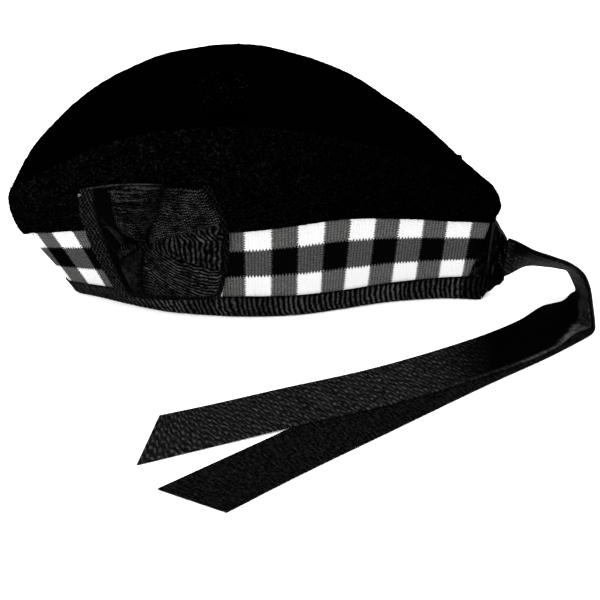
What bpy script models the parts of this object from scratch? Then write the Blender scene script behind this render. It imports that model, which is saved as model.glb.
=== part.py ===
# Glengarry: a boat-shaped cap of milled wool above a knitted, diced band that is bound in ribbed
# tape, with a folded cockade on its left side, a toorie on the crown and two ribbon tails behind.
# Metres, +Z up. The cap stands on its rim, its front towards -X and its left side towards -Y.

import math

import bmesh
import bpy
import numpy as np
from mathutils import Vector

# Cap, by level: the rim, the hem where the wool meets the band, and the folded upper edge
RIM_LENGTH = 0.242
RIM_HALF_WIDTH = 0.0285
HEM_HEIGHT = 0.070
HEM_FLARE = 0.0125
HEM_FRONT_LEAN = 0.027
HEM_BACK_LEAN = 0.0045
WOOL_RISE = 0.064
FOLD_FLARE = 0.0265
FOLD_FRONT_LEAN = 0.033
FOLD_BACK_LEAN = 0.0065
CAP_HEIGHT = HEM_HEIGHT + WOOL_RISE
FRONT_SHARE = 0.442
RIM_FRONT = -FRONT_SHARE * RIM_LENGTH

# Cloth
CLEARANCE = 0.0003
WOOL = 0.0017
WOOL_BULGE = 0.0030
END_BULGE_SHARE = 0.1
BULGE_DICE = 4.0
KNIT = 0.0024
HEM_LAP = 0.0035
BAND_COLUMNS = 20
BINDING_HEIGHT = 0.0135
BINDING_INNER_HEIGHT = 0.0110
TAPE = 0.0008
SLIT_TAPE_LOW_WIDTH = 0.0078
SLIT_TAPE_HIGH_WIDTH = 0.0035
CROWN_HOLLOW_POWER = 1.7

# Toorie
TOORIE_DIAMETER = 0.0295
TOORIE_HEIGHT = 0.0200
TOORIE_SHARE = 0.450
TOORIE_LOCKS = 8
TOORIE_ROWS = 6
TOORIE_LOCK_SHARE = 0.05

# Cockade
COCKADE_RIBBON = 0.0008
COCKADE_RELIEF = 0.0052
COCKADE_FOLDS = 7
FOLD_PHASE = 0.6
FOLD_OPENING_RATIO = 2.4
EDGE_OPENING_RATIO = 12.0
BOW_MARGIN_SHARE = 0.05
PINCH_DIAMETER = 0.011
PINCH_HEIGHT = 0.0035
PINCH_SEAT = 0.0011
PINCH_SPREAD_RATIO = 1.02

# Tails
RIBBON_WIDTH = 0.032
RIBBON = 0.0009
TAIL_REACH = 0.064
TAIL_SPREAD = 0.190
LOOP_HEIGHT = 0.025
END_SLANT = 57.0
GATHER_HALF_WIDTH = 0.0036
GATHER_LOW = 0.0015
GATHER_SEAT = 1.2 * CLEARANCE
GATHER_PLEATS = 2.5
GATHER_SAG_POWER = 1.4
PLEAT_DEPTH = 0.0013

# Sampling
SIDE_STEPS = 32
NOSE_CLOSENESS_POWER = 1.4
RIBBON_STEPS = 49
RIBBON_SHARES = np.array((-1.0, -0.5, 0.0, 0.5, 1.0))
WOOL_SHARES = (0.0, 0.2, 0.4, 0.6, 0.8, 0.94, 1.0)
CROWN_SHARES = (-0.93, -0.75, -0.5, -0.25, 0.0, 0.25, 0.5, 0.75, 0.93)
BOW_STEPS = (20, 18)
PINCH_STEPS = 6
SLIT_TAPE_ROWS = 5
GATHER_RINGS = 13
GATHER_ROWS = 5
SLOPE_RATIO = 0.05
MERGE = 1e-6
SHARP_ANGLE = 50.0

# One row for each measured rib, counted in dice from the front; x from that level's front end,
# y and z, all as shares of that level's length, half width and height
SECTION_NAMES = ("dice", "rimX", "rimY", "hemX", "hemY", "hemZ", "foldX", "foldY", "foldZ", "crownZ")
SECTIONS = (
    (0, 0.000, 0.00, 0.000, 0.00, 0.530, 0.003, 0.00, 0.463, 0.463),
    (1, 0.013, 0.18, 0.038, 0.23, 0.610, 0.029, 0.27, 0.556, 0.545),
    (2, 0.064, 0.31, 0.080, 0.41, 0.675, 0.068, 0.54, 0.650, 0.620),
    (4, 0.150, 0.60, 0.175, 0.68, 0.795, 0.158, 0.84, 0.800, 0.745),
    (6, 0.240, 0.85, 0.271, 0.85, 0.865, 0.254, 0.94, 0.911, 0.822),
    (8, 0.335, 0.96, 0.373, 0.97, 0.915, 0.359, 0.99, 0.974, 0.862),
    (10, 0.432, 1.00, 0.486, 1.00, 0.955, 0.477, 1.00, 0.998, 0.876),
    (12, 0.553, 0.91, 0.593, 0.93, 0.990, 0.591, 0.91, 0.967, 0.862),
    (14, 0.661, 0.66, 0.698, 0.78, 0.990, 0.702, 0.77, 0.893, 0.812),
    (16, 0.775, 0.37, 0.798, 0.54, 0.930, 0.809, 0.52, 0.782, 0.720),
    (18, 0.888, 0.22, 0.898, 0.30, 0.835, 0.912, 0.23, 0.640, 0.600),
    (19, 0.942, 0.21, 0.950, 0.20, 0.785, 0.958, 0.15, 0.562, 0.540),
    (20, 0.997, 0.22, 0.988, 0.13, 0.735, 0.987, 0.10, 0.515, 0.507),
    (21, 1.010, 0.00, 0.999, 0.00, 0.725, 0.998, 0.00, 0.480, 0.480),
)

# Cockade corners on the left side: dice from the front, and level: 0 rim, 1 hem, 2 fold; its front
# and back edges bow out between them by these counts of dice
COCKADE_CORNER_SHARES = {
    "lowFront": (3.8, 0.15),
    "lowBack": (8.9, 0.25),
    "highBack": (9.15, 1.50),
    "highFront": (4.45, 1.62),
}
COCKADE_EDGE_BOWS = {"front": 0.40, "back": 0.45}
PINCH_SHARES = (0.44, 0.50)

# Path of each tail from the slit round its loop and along the ground: x from the slit as shares of
# the reach, y of the spread, z of the loop height; turn is the way across the ribbon in degrees from
# +X, lean its rise in degrees above level, width a share of the ribbon's
TAIL_NAMES = ("x", "y", "z", "turn", "lean", "width")
LOWER_TAIL = (
    (0.220, 0.022, 0.92, 89, -77, 0.95),
    (0.415, 0.020, 0.90, 88, -50, 1.00),
    (0.609, 0.005, 0.89, 87, -40, 1.00),
    (0.762, -0.017, 0.90, 88, -34, 1.00),
    (0.856, -0.040, 0.86, 94, -26, 1.00),
    (0.919, -0.055, 0.58, 96, -24, 1.00),
    (0.945, -0.072, 0.29, 97, -17, 1.00),
    (0.934, -0.102, 0.11, 102, -6, 1.00),
    (0.864, -0.130, 0.04, 112, -1, 1.00),
    (0.721, -0.173, 0.03, 122, 0, 1.00),
    (0.323, -0.282, 0.03, 128, 0, 1.00),
    (-0.239, -0.421, 0.03, 128, 0, 1.00),
    (-1.005, -0.621, 0.03, 128, 0, 1.00),
    (-1.708, -0.805, 0.03, 128, 0, 1.00),
    (-2.395, -0.982, 0.03, 128, 0, 1.00),
)
UPPER_TAIL = (
    (0.220, 0.010, 0.86, 89, -77, 0.95),
    (0.417, 0.012, 0.84, 88, -50, 1.00),
    (0.613, -0.001, 0.82, 87, -40, 1.00),
    (0.745, -0.020, 0.83, 88, -34, 1.00),
    (0.832, -0.042, 0.78, 94, -26, 1.00),
    (0.890, -0.056, 0.54, 96, -24, 1.00),
    (0.912, -0.072, 0.32, 97, -17, 1.00),
    (0.900, -0.093, 0.17, 102, -6, 1.00),
    (0.827, -0.116, 0.10, 114, -1, 1.00),
    (0.667, -0.152, 0.08, 120, 0, 1.00),
    (0.419, -0.240, 0.08, 120, 0, 1.00),
    (-0.052, -0.347, 0.08, 114, 0, 1.00),
    (-0.880, -0.494, 0.08, 112, 0, 1.00),
    (-1.708, -0.605, 0.07, 112, 0, 1.00),
    (-2.255, -0.678, 0.04, 112, 0, 1.00),
    (-2.825, -0.757, 0.03, 112, 0, 1.00),
)
LOOSE_END_SHARE = 0.90


def clear_scene():
    for thing in list(bpy.data.objects):
        bpy.data.objects.remove(thing, do_unlink=True)


def material(name, colour, roughness):
    made = bpy.data.materials.new(name)
    made.use_nodes = True
    shader = made.node_tree.nodes["Principled BSDF"]
    shader.inputs["Base Color"].default_value = (*colour, 1.0)
    shader.inputs["Roughness"].default_value = roughness
    shader.inputs["Metallic"].default_value = 0.0
    return made


def add_object(name, mesh, finish):
    made = bpy.data.objects.new(name, mesh)
    bpy.context.scene.collection.objects.link(made)
    mesh.materials.append(finish)
    mesh.shade_smooth()
    mesh.set_sharp_from_angle(angle=math.radians(SHARP_ANGLE))
    return made


def mesh_from(points, faces, name, closed=True):
    """Merges the points that meet and drops the faces that collapse; a closed body faces out."""
    shape = bmesh.new()
    corners = [shape.verts.new(point) for point in points]
    for face in faces:
        shape.faces.new([corners[index] for index in face])
    bmesh.ops.remove_doubles(shape, verts=shape.verts, dist=MERGE)
    bmesh.ops.dissolve_degenerate(shape, edges=shape.edges, dist=MERGE)
    if closed:
        bmesh.ops.recalc_face_normals(shape, faces=shape.faces)
    mesh = bpy.data.meshes.new(name)
    shape.to_mesh(mesh)
    shape.free()
    return mesh


def smooth_through(knots, values, at):
    """Cubic through the rows of a table, with slopes taken from each row's neighbours."""
    knots = np.asarray(knots, float)
    values = np.asarray(values, float)
    slopes = np.empty_like(values)
    slopes[1:-1] = (values[2:] - values[:-2]) / (knots[2:] - knots[:-2])
    slopes[0] = (values[1] - values[0]) / (knots[1] - knots[0])
    slopes[-1] = (values[-1] - values[-2]) / (knots[-1] - knots[-2])
    row = np.clip(np.searchsorted(knots, at, side="right") - 1, 0, len(knots) - 2)
    span = knots[row + 1] - knots[row]
    t = (at - knots[row]) / span
    start = (1 + 2 * t) * (1 - t) ** 2 * values[row] + t * (1 - t) ** 2 * span * slopes[row]
    end = t * t * (3 - 2 * t) * values[row + 1] - t * t * (1 - t) * span * slopes[row + 1]
    return start + end


def section_column(name):
    return np.array([row[SECTION_NAMES.index(name)] for row in SECTIONS])


def mirrored(values, sign):
    """Adds a row past each end, as the cap's other side continues it."""
    return np.concatenate(([sign * values[1]], values, [sign * values[-2]]))


def level_curve(level, dice):
    """Points of the rim, the hem or the fold on the left side, at these counts of dice."""
    front_lean, back_lean, flare, height = {
        "rim": (0.0, 0.0, 0.0, None),
        "hem": (HEM_FRONT_LEAN, HEM_BACK_LEAN, HEM_FLARE, HEM_HEIGHT),
        "fold": (FOLD_FRONT_LEAN, FOLD_BACK_LEAN, FOLD_FLARE, CAP_HEIGHT),
    }[level]
    length = RIM_LENGTH + front_lean + back_lean
    front = RIM_FRONT - front_lean
    half_width = RIM_HALF_WIDTH + flare
    rows = section_column("dice")
    last = rows[-1]
    knots = np.concatenate(([-rows[1]], rows, [2 * last - rows[-2]]))
    x = front + length * smooth_through(knots, mirrored(section_column(level + "X"), 1), dice)
    y = half_width * smooth_through(knots, mirrored(section_column(level + "Y"), -1), dice)
    z = np.zeros_like(x)
    if height is not None:
        z = height * smooth_through(knots, mirrored(section_column(level + "Z"), 1), dice)
    return np.stack([x, -y, z], axis=-1)


def crown_line(dice):
    """The middle line of the crown, over each point of the fold."""
    rows = section_column("dice")
    knots = np.concatenate(([-rows[1]], rows, [2 * rows[-1] - rows[-2]]))
    z = CAP_HEIGHT * smooth_through(knots, mirrored(section_column("crownZ"), 1), dice)
    fold = level_curve("fold", dice)
    return np.stack([fold[:, 0], np.zeros_like(z), z], axis=-1)


def unit(vectors):
    return vectors / np.linalg.norm(vectors, axis=-1, keepdims=True)


def outward(dice, level):
    """Level directions straight out of the left wall."""
    run = level_curve(level, dice + SLOPE_RATIO) - level_curve(level, dice - SLOPE_RATIO)
    return unit(np.stack([run[:, 1], -run[:, 0], np.zeros(len(run))], axis=-1))


def outward_between(dice, low, high, share):
    return unit(outward(dice, low) * (1 - share) + outward(dice, high) * share)


def band_point(dice, height, out):
    """A point of the band's wall, so high above the ground and so far out of its outer face."""
    rim = level_curve("rim", dice)
    hem = level_curve("hem", dice)
    share = (np.asarray(height) / hem[:, 2])[:, None]
    out_way = outward_between(dice, "rim", "hem", np.clip(share, 0, 1))
    return rim + (hem - rim) * share + out_way * np.asarray(out).reshape(-1, 1)


def hem_height(dice):
    return level_curve("hem", dice)[:, 2]


def wool_side(dice, share, out):
    """A point of the wool's left side: share 0 at the hem, 1 at the fold."""
    low = band_point(dice, hem_height(dice) + HEM_LAP, WOOL + CLEARANCE)
    fold = level_curve("fold", dice)
    from_end = np.clip(np.minimum(dice, SECTIONS[-1][0] - dice) / BULGE_DICE, 0, 1)
    ease = END_BULGE_SHARE + (1 - END_BULGE_SHARE) * from_end[:, None]
    bulge = WOOL_BULGE * ease * 4 * share * (1 - share)
    return low + (fold - low) * share + outward_between(dice, "hem", "fold", share) * (bulge + out)


def side_dice(last):
    """Counts of dice along one side, closer together round the narrow front."""
    return last * np.linspace(0, 1, SIDE_STEPS + 1) ** NOSE_CLOSENESS_POWER


def mirror_y(points):
    return points * np.array([1.0, -1.0, 1.0])


def loop_both_sides(curve_at, dice):
    """Left side from front to back, then the right side back to the front."""
    left = curve_at(dice)
    return np.concatenate([left, mirror_y(left)[::-1]])


def make_wool(finish):
    """Side panels and crown in one sheet, given its thickness inwards."""
    dice = side_dice(SECTIONS[-1][0])
    levels = [lambda d: band_point(d, hem_height(d), WOOL + CLEARANCE)]
    for share in WOOL_SHARES:
        levels.append(lambda d, share=share: wool_side(d, share, 0.0))
    rings = [loop_both_sides(level, dice) for level in levels]
    count = len(rings[0])
    points = [tuple(point) for ring in rings for point in ring]
    faces = []
    for ring in range(len(rings) - 1):
        for index in range(count):
            after = (index + 1) % count
            low = ring * count
            faces.append((low + index, low + after, low + count + after, low + count + index))
    fold = level_curve("fold", dice)
    middle = crown_line(dice)
    columns = [list(range(len(points) - count, len(points) - count + len(dice)))]
    for place in CROWN_SHARES:
        start = len(points)
        columns.append(list(range(start, start + len(dice))))
        rise = abs(place) ** CROWN_HOLLOW_POWER
        for edge, centre in zip(fold, middle):
            points.append((edge[0], -place * edge[1], centre[2] + (edge[2] - centre[2]) * rise))
    far = range(len(rings) * count - 1, len(rings) * count - 1 - len(dice), -1)
    columns.append(list(far))
    for near_column, far_column in zip(columns, columns[1:]):
        for index in range(len(dice) - 1):
            faces.append((
                near_column[index], near_column[index + 1],
                far_column[index + 1], far_column[index],
            ))
    faces = [face for face in faces if len({points[index] for index in face}) > 2]
    made = add_object("wool_body", mesh_from(points, faces, "wool_body", closed=False), finish)
    wall = made.modifiers.new("Wall", "SOLIDIFY")
    wall.thickness = WOOL
    wall.offset = -1.0
    wall.use_even_offset = False
    return made


def swept(name, rings, finish):
    """A closed body through rings of equal count, with its two ends capped."""
    count = len(rings[0])
    points = [tuple(point) for ring in rings for point in ring]
    faces = []
    for ring in range(len(rings) - 1):
        for index in range(count):
            after = (index + 1) % count
            low = ring * count
            faces.append((low + index, low + after, low + count + after, low + count + index))
    faces.append(tuple(range(count)))
    faces.append(tuple(range(len(points) - count, len(points))))
    return add_object(name, mesh_from(points, faces, name), finish)


def wall_rings(profile, dice):
    """Rings of a wall section carried from the left back corner round the front to the right."""
    left = np.stack([band_point(dice, *at(dice)) for at in profile], axis=1)
    return list(left[::-1]) + [mirror_y(ring) for ring in left[1:]]


def constant(value):
    return lambda dice: np.full(len(dice), value)


def section_point(height, out):
    """One corner of a wall section: its height and how far out it lies, along the wall."""
    rise = height if callable(height) else constant(height)
    return lambda dice: (rise(dice), constant(out)(dice))


def wall_face(heights, out):
    """Corners of a wall section up one of its faces."""
    return [section_point(height, out) for height in heights]


def make_band(finish):
    base = TAPE + CLEARANCE
    top = lambda dice: hem_height(dice) + HEM_LAP - CLEARANCE
    above = lambda share: lambda dice: BINDING_HEIGHT + (top(dice) - BINDING_HEIGHT) * share
    heights = [base, BINDING_HEIGHT / 2, BINDING_HEIGHT, above(1 / 3), above(2 / 3), top]
    profile = wall_face(heights, 0.0) + wall_face(heights[::-1], -KNIT)
    return swept("diced_band", wall_rings(profile, side_dice(BAND_COLUMNS)), finish)


def make_binding(finish):
    """Tape folded round the band's lower edge."""
    outside = CLEARANCE + TAPE
    inside = -(KNIT + outside)
    outer = [0.0, BINDING_HEIGHT / 2, BINDING_HEIGHT]
    inner = [0.0, BINDING_INNER_HEIGHT / 2, BINDING_INNER_HEIGHT]
    profile = wall_face(outer, outside)
    profile += wall_face([BINDING_HEIGHT, BINDING_HEIGHT / 2, TAPE], CLEARANCE)
    profile += wall_face([TAPE, BINDING_INNER_HEIGHT / 2, BINDING_INNER_HEIGHT], inside + TAPE)
    profile += wall_face(inner[::-1], inside)
    return swept("rim_binding", wall_rings(profile, side_dice(BAND_COLUMNS)), finish)


def tape_ring(height):
    """Outline of the tape folded round the band's back end, at one height on the left side."""
    dice = side_dice(BAND_COLUMNS)[-2:]
    outside = CLEARANCE + TAPE
    inside = -(KNIT + outside)
    width = np.interp(
        height, (BINDING_HEIGHT, HEM_HEIGHT), (SLIT_TAPE_LOW_WIDTH, SLIT_TAPE_HIGH_WIDTH))
    faces = {}
    for out in (outside, inside, inside + TAPE, CLEARANCE):
        ahead, end = band_point(dice, np.full(2, height), out)
        faces[out] = [end + unit(ahead - end) * width, end]
    way_out = unit(faces[outside][1] - faces[inside][1])
    along = unit(np.array([-way_out[1], way_out[0], 0.0]))
    outer = [end + along * outside for end in (faces[outside][1], faces[inside][1])]
    inner = [end + along * CLEARANCE for end in (faces[inside + TAPE][1], faces[CLEARANCE][1])]
    return np.array(
        faces[outside] + outer + faces[inside][::-1]
        + faces[inside + TAPE] + inner + faces[CLEARANCE][::-1])


def make_slit_tape(name, finish, sign):
    """Tape folded round one end of the band, from above the binding to the hem."""
    low = BINDING_HEIGHT + CLEARANCE
    high = float(hem_height(side_dice(BAND_COLUMNS)[-2:]).min()) - CLEARANCE
    rings = [tape_ring(height) for height in np.linspace(low, high, SLIT_TAPE_ROWS)]
    if sign > 0:
        rings = [mirror_y(ring) for ring in rings]
    return swept(name, rings, finish)


def make_toorie(finish):
    """A pompom: a ball of cut locks, seated in the crown's hollow."""
    dice = np.array([np.interp(TOORIE_SHARE, section_column("foldX"), section_column("dice"))])
    seat = crown_line(dice)[0]
    radius = TOORIE_DIAMETER / 2
    shape = bmesh.new()
    bmesh.ops.create_uvsphere(
        shape, u_segments=2 * TOORIE_LOCKS, v_segments=2 * TOORIE_ROWS, radius=radius)
    for vert in shape.verts:
        around = math.atan2(vert.co.y, vert.co.x)
        up = math.asin(max(-1.0, min(1.0, vert.co.z / radius)))
        locks = math.cos(TOORIE_LOCKS * around) * math.cos(2 * TOORIE_ROWS * up) * math.cos(up)
        vert.co *= 1 + TOORIE_LOCK_SHARE * locks
        vert.co.z *= TOORIE_HEIGHT / TOORIE_DIAMETER
        vert.co += Vector((seat[0], 0.0, seat[2] + TOORIE_HEIGHT / 2 + CLEARANCE))
    mesh = bpy.data.meshes.new("toorie")
    shape.to_mesh(mesh)
    shape.free()
    return add_object("toorie", mesh, finish)


def side_point(dice, level, out):
    """A point out of the left side, by dice and level: 0 rim, 1 hem, 2 fold."""
    at = np.array([float(dice)])
    lift = WOOL + CLEARANCE + out
    if level <= 1:
        return band_point(at, hem_height(at) * level, lift)[0]
    low = band_point(at, hem_height(at), lift)[0]
    start = wool_side(at, 0.0, out)[0]
    share = level - 1
    lap = HEM_LAP / WOOL_RISE
    if share < lap:
        return low + (start - low) * share / lap
    return wool_side(at, (share - lap) / (1 - lap), out)[0]


def cockade_point(a, b, out):
    """Across the cockade from its front edge and up from its lower edge, as shares."""
    low_front, low_back, high_back, high_front = (np.array(COCKADE_CORNER_SHARES[key]) for key in (
        "lowFront", "lowBack", "highBack", "highFront"))
    low = low_front + (low_back - low_front) * a
    high = high_front + (high_back - high_front) * a
    dice, level = low + (high - low) * b
    bow = COCKADE_EDGE_BOWS["back"] * a - COCKADE_EDGE_BOWS["front"] * (1 - a)
    return side_point(dice + bow * 4 * b * (1 - b), level, out)


def sheet_on_side(name, across, up, inner, outer, finish):
    """A closed sheet that lies along the cap's side, from its inner face to its outer one."""
    rows = []
    for face in (inner, outer):
        rows.append([[cockade_point(a, b, face(a, b)) for a in across] for b in up])
    width, height = len(across), len(up)
    points = [tuple(point) for face in rows for row in face for point in row]
    layer = width * height
    faces = []
    for row in range(height - 1):
        for column in range(width - 1):
            corner = row * width + column
            square = (corner, corner + 1, corner + width + 1, corner + width)
            faces.append(square)
            faces.append(tuple(index + layer for index in reversed(square)))
    edge = list(range(width))
    edge += [row * width + width - 1 for row in range(1, height)]
    edge += [(height - 1) * width + column for column in range(width - 2, -1, -1)]
    edge += [row * width for row in range(height - 2, 0, -1)]
    for here, there in zip(edge, edge[1:] + edge[:1]):
        faces.append((here, here + layer, there + layer, there))
    return add_object(name, mesh_from(points, faces, name), finish)


def bow_relief(a, b):
    """Folds that run out from the pinch, flat at the pinch and at the edges."""
    from_front, from_low = a - PINCH_SHARES[0], b - PINCH_SHARES[1]
    reach = math.hypot(from_front, from_low)
    angle = math.atan2(from_low, from_front)
    fold = 0.5 + 0.5 * math.cos(COCKADE_FOLDS * angle + FOLD_PHASE)
    edge = min(1.0, EDGE_OPENING_RATIO * max(0.0, min(a, 1 - a, b, 1 - b)))
    return COCKADE_RELIEF * fold * min(1.0, FOLD_OPENING_RATIO * reach) * math.sqrt(edge)


def make_cockade(finish):
    base_out = CLEARANCE + COCKADE_RIBBON
    bow_in = base_out + CLEARANCE
    across, up = (np.linspace(BOW_MARGIN_SHARE, 1 - BOW_MARGIN_SHARE, steps) for steps in BOW_STEPS)
    sheet_on_side(
        "cockade_base", np.concatenate(([0.0], across, [1.0])), np.concatenate(([0.0], up, [1.0])),
        lambda a, b: CLEARANCE, lambda a, b: base_out, finish)
    sheet_on_side(
        "cockade_bow", across, up,
        lambda a, b: bow_in, lambda a, b: bow_in + COCKADE_RIBBON + bow_relief(a, b), finish)
    edges = [cockade_point(share, PINCH_SHARES[1], 0.0) for share in (0.0, 1.0)]
    spread = PINCH_DIAMETER / 2 / np.linalg.norm(edges[1] - edges[0])
    steps = spread * np.linspace(-1, 1, PINCH_STEPS)
    seat = bow_in + 2 * COCKADE_RIBBON + PINCH_SEAT
    sheet_on_side(
        "cockade_pinch", PINCH_SHARES[0] + steps, PINCH_SHARES[1] + steps,
        lambda a, b: seat + bow_relief(a, b) * PINCH_SPREAD_RATIO,
        lambda a, b: seat + bow_relief(a, b) + PINCH_HEIGHT, finish)


def tail_stations(table, steps):
    """Middle and way across of a tail, along its path."""
    rows = {name: np.array([row[i] for row in table], float) for i, name in enumerate(TAIL_NAMES)}
    slit_x = level_curve("rim", np.array([float(BAND_COLUMNS)]))[0][0]
    middle = np.stack([
        slit_x + rows["x"] * TAIL_REACH, rows["y"] * TAIL_SPREAD, rows["z"] * LOOP_HEIGHT], axis=-1)
    runs = np.linalg.norm(np.diff(middle, axis=0), axis=1)
    knots = np.concatenate(([0.0], np.cumsum(np.sqrt(runs))))
    at = np.linspace(0.0, knots[-1], steps + 1)
    centre = np.stack([smooth_through(knots, middle[:, axis], at) for axis in range(3)], axis=-1)
    turn = np.radians(smooth_through(knots, rows["turn"], at))
    lean = np.radians(smooth_through(knots, rows["lean"], at))
    width = smooth_through(knots, rows["width"], at) * RIBBON_WIDTH / 2
    across = np.stack([
        np.cos(turn) * np.cos(lean), np.sin(turn) * np.cos(lean), np.sin(lean)], axis=-1)
    return centre, across * width[:, None]


def make_gather(finish):
    """Ribbon ends pleated together behind the slit, seated on the tapes of its two edges."""
    hem = float(hem_height(np.array([float(SECTIONS[-1][0])]))[0])
    centre, half = (values[0] for values in tail_stations(UPPER_TAIL, 1))
    end = centre[0] - CLEARANCE
    low = (GATHER_LOW, centre[2] + half[2])
    high = (hem - 2 * CLEARANCE, centre[2] - half[2])
    rings = []
    for share in np.linspace(0, 1, GATHER_RINGS):
        bottom = low[0] + (low[1] - low[0]) * share ** GATHER_SAG_POWER
        top = high[0] + (high[1] - high[0]) * share
        pleat = 0.5 - 0.5 * math.cos(2 * math.pi * GATHER_PLEATS * share)
        wide = GATHER_HALF_WIDTH - PLEAT_DEPTH * pleat
        edge = []
        for height in np.linspace(bottom, top, GATHER_ROWS):
            outer, inner = tape_ring(height)[2:4]
            seat = np.interp(-GATHER_HALF_WIDTH, (outer[1], inner[1]), (outer[0], inner[0])) + GATHER_SEAT
            edge.append((seat + (end - seat) * share, centre[1] * share - wide, height))
        ring = np.array(edge)
        far = ring[::-1] + (0.0, 2 * wide, 0.0)
        rings.append(np.concatenate([ring, far]))
    return swept("tail_gather", rings, finish)


def make_tail(name, table, end_way, finish):
    """A flat ribbon along its path, cut at a slant at its free end."""
    centre, half = tail_stations(table, RIBBON_STEPS)
    way = centre[-1] - centre[-2]
    way = way / np.linalg.norm(way)
    slant = end_way * way * RIBBON_WIDTH / 2 / math.tan(math.radians(END_SLANT))
    along = np.linspace(0, 1, len(centre))
    eases = np.clip((along - LOOSE_END_SHARE) / (1 - LOOSE_END_SHARE), 0, 1)
    points = []
    for middle, side, ease in zip(centre, half, eases):
        for share in RIBBON_SHARES:
            points.append(tuple(middle + side * share + slant * share * ease))
    count = len(RIBBON_SHARES)
    faces = []
    for row in range(len(centre) - 1):
        for column in range(count - 1):
            corner = row * count + column
            faces.append((corner, corner + 1, corner + count + 1, corner + count))
    made = add_object(name, mesh_from(points, faces, name), finish)
    wall = made.modifiers.new("Ribbon", "SOLIDIFY")
    wall.thickness = RIBBON
    wall.offset = 0.0
    return made


def main():
    clear_scene()
    wool = material("milled_wool", (0.012, 0.012, 0.013), 0.95)
    knit = material("diced_knit", (0.35, 0.35, 0.34), 0.9)
    ribbed = material("ribbed_silk", (0.016, 0.016, 0.017), 0.5)
    tuft = material("toorie_wool", (0.010, 0.010, 0.010), 1.0)
    make_wool(wool)
    make_band(knit)
    make_binding(ribbed)
    make_slit_tape("slit_tape_left", ribbed, -1)
    make_slit_tape("slit_tape_right", ribbed, 1)
    make_toorie(tuft)
    make_cockade(ribbed)
    make_gather(ribbed)
    make_tail("ribbon_tail_lower", LOWER_TAIL, 1, ribbed)
    make_tail("ribbon_tail_upper", UPPER_TAIL, -1, ribbed)


main()
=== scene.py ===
import math

import bpy
import numpy as np
from mathutils import Euler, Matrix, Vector, noise


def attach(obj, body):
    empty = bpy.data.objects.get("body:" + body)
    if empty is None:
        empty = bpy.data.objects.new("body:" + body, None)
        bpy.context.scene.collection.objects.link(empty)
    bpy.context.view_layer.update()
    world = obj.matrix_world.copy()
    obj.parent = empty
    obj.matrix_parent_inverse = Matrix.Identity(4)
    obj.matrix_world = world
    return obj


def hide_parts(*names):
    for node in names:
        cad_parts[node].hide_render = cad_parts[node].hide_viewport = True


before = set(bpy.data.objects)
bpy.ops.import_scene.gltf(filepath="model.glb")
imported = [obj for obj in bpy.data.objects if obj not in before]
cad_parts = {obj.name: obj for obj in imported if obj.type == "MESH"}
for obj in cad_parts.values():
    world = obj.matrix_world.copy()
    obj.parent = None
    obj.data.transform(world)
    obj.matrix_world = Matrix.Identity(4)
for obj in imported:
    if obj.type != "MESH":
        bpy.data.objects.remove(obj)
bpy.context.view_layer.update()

random = np.random.default_rng(7)

# Camera first
cameraValues = {
    "place": (0.0463, -0.6562, 0.4199),
    "pitch": 57.0,
    "turn": 1.6,
    "lens": 78.624,
}


def makeCamera(values):
    data = bpy.data.cameras.new("camera")
    data.lens = values["lens"]
    data.sensor_width = 36.0
    data.sensor_fit = "HORIZONTAL"
    data.clip_start = 0.01
    made = bpy.data.objects.new("camera", data)
    bpy.context.scene.collection.objects.link(made)
    made.location = values["place"]
    made.rotation_euler = Euler((math.radians(values["pitch"]), 0.0, math.radians(values["turn"])))
    bpy.context.scene.camera = made


makeCamera(cameraValues)
print("camera set")

# The cap's levels: the rim, the hem where the wool meets the band, and the folded upper edge
cap = {
    "rimLength": 0.242,
    "rimHalfWidth": 0.0285,
    "hemHeight": 0.070,
    "hemFlare": 0.0125,
    "hemFrontLean": 0.027,
    "hemBackLean": 0.0045,
    "height": 0.134,
    "foldFlare": 0.0265,
    "foldFrontLean": 0.033,
    "foldBackLean": 0.0065,
    "frontShare": 0.442,
    "hollow": 1.7,
    "wool": 0.0017,
    "bulge": 0.0030,
    "hemLap": 0.0035,
    "knit": 0.0024,
    "gap": 0.0003,
    "tape": 0.0008,
    "bandDice": 20,
}
# the side of the cap from front to back, counted in dice: each level's x, y and z as shares of its
# length, half width and height
sectionNames = ("dice", "rimX", "rimY", "hemX", "hemY", "hemZ", "foldX", "foldY", "foldZ", "crownZ")
sectionRows = (
    (0, 0.009, 0.00, 0.010, 0.00, 0.535, 0.004, 0.00, 0.463, 0.463),
    (1, 0.018, 0.18, 0.038, 0.23, 0.622, 0.027, 0.27, 0.556, 0.545),
    (2, 0.063, 0.31, 0.077, 0.41, 0.692, 0.065, 0.54, 0.650, 0.620),
    (4, 0.150, 0.60, 0.175, 0.68, 0.812, 0.158, 0.84, 0.800, 0.745),
    (6, 0.240, 0.85, 0.271, 0.85, 0.868, 0.254, 0.94, 0.911, 0.822),
    (8, 0.335, 0.96, 0.373, 0.97, 0.890, 0.359, 0.99, 0.974, 0.862),
    (10, 0.432, 1.00, 0.486, 1.00, 0.925, 0.477, 1.00, 0.998, 0.876),
    (12, 0.553, 0.91, 0.593, 0.93, 0.965, 0.591, 0.91, 0.967, 0.862),
    (14, 0.661, 0.66, 0.698, 0.78, 0.980, 0.702, 0.77, 0.893, 0.812),
    (16, 0.775, 0.37, 0.798, 0.54, 0.906, 0.809, 0.52, 0.782, 0.720),
    (18, 0.888, 0.22, 0.898, 0.30, 0.813, 0.912, 0.23, 0.640, 0.600),
    (19, 0.942, 0.21, 0.950, 0.20, 0.777, 0.958, 0.15, 0.562, 0.540),
    (20, 0.997, 0.22, 0.990, 0.13, 0.747, 0.987, 0.10, 0.515, 0.507),
    (21, 1.010, 0.00, 0.990, 0.00, 0.738, 0.990, 0.00, 0.480, 0.480),
)


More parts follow.
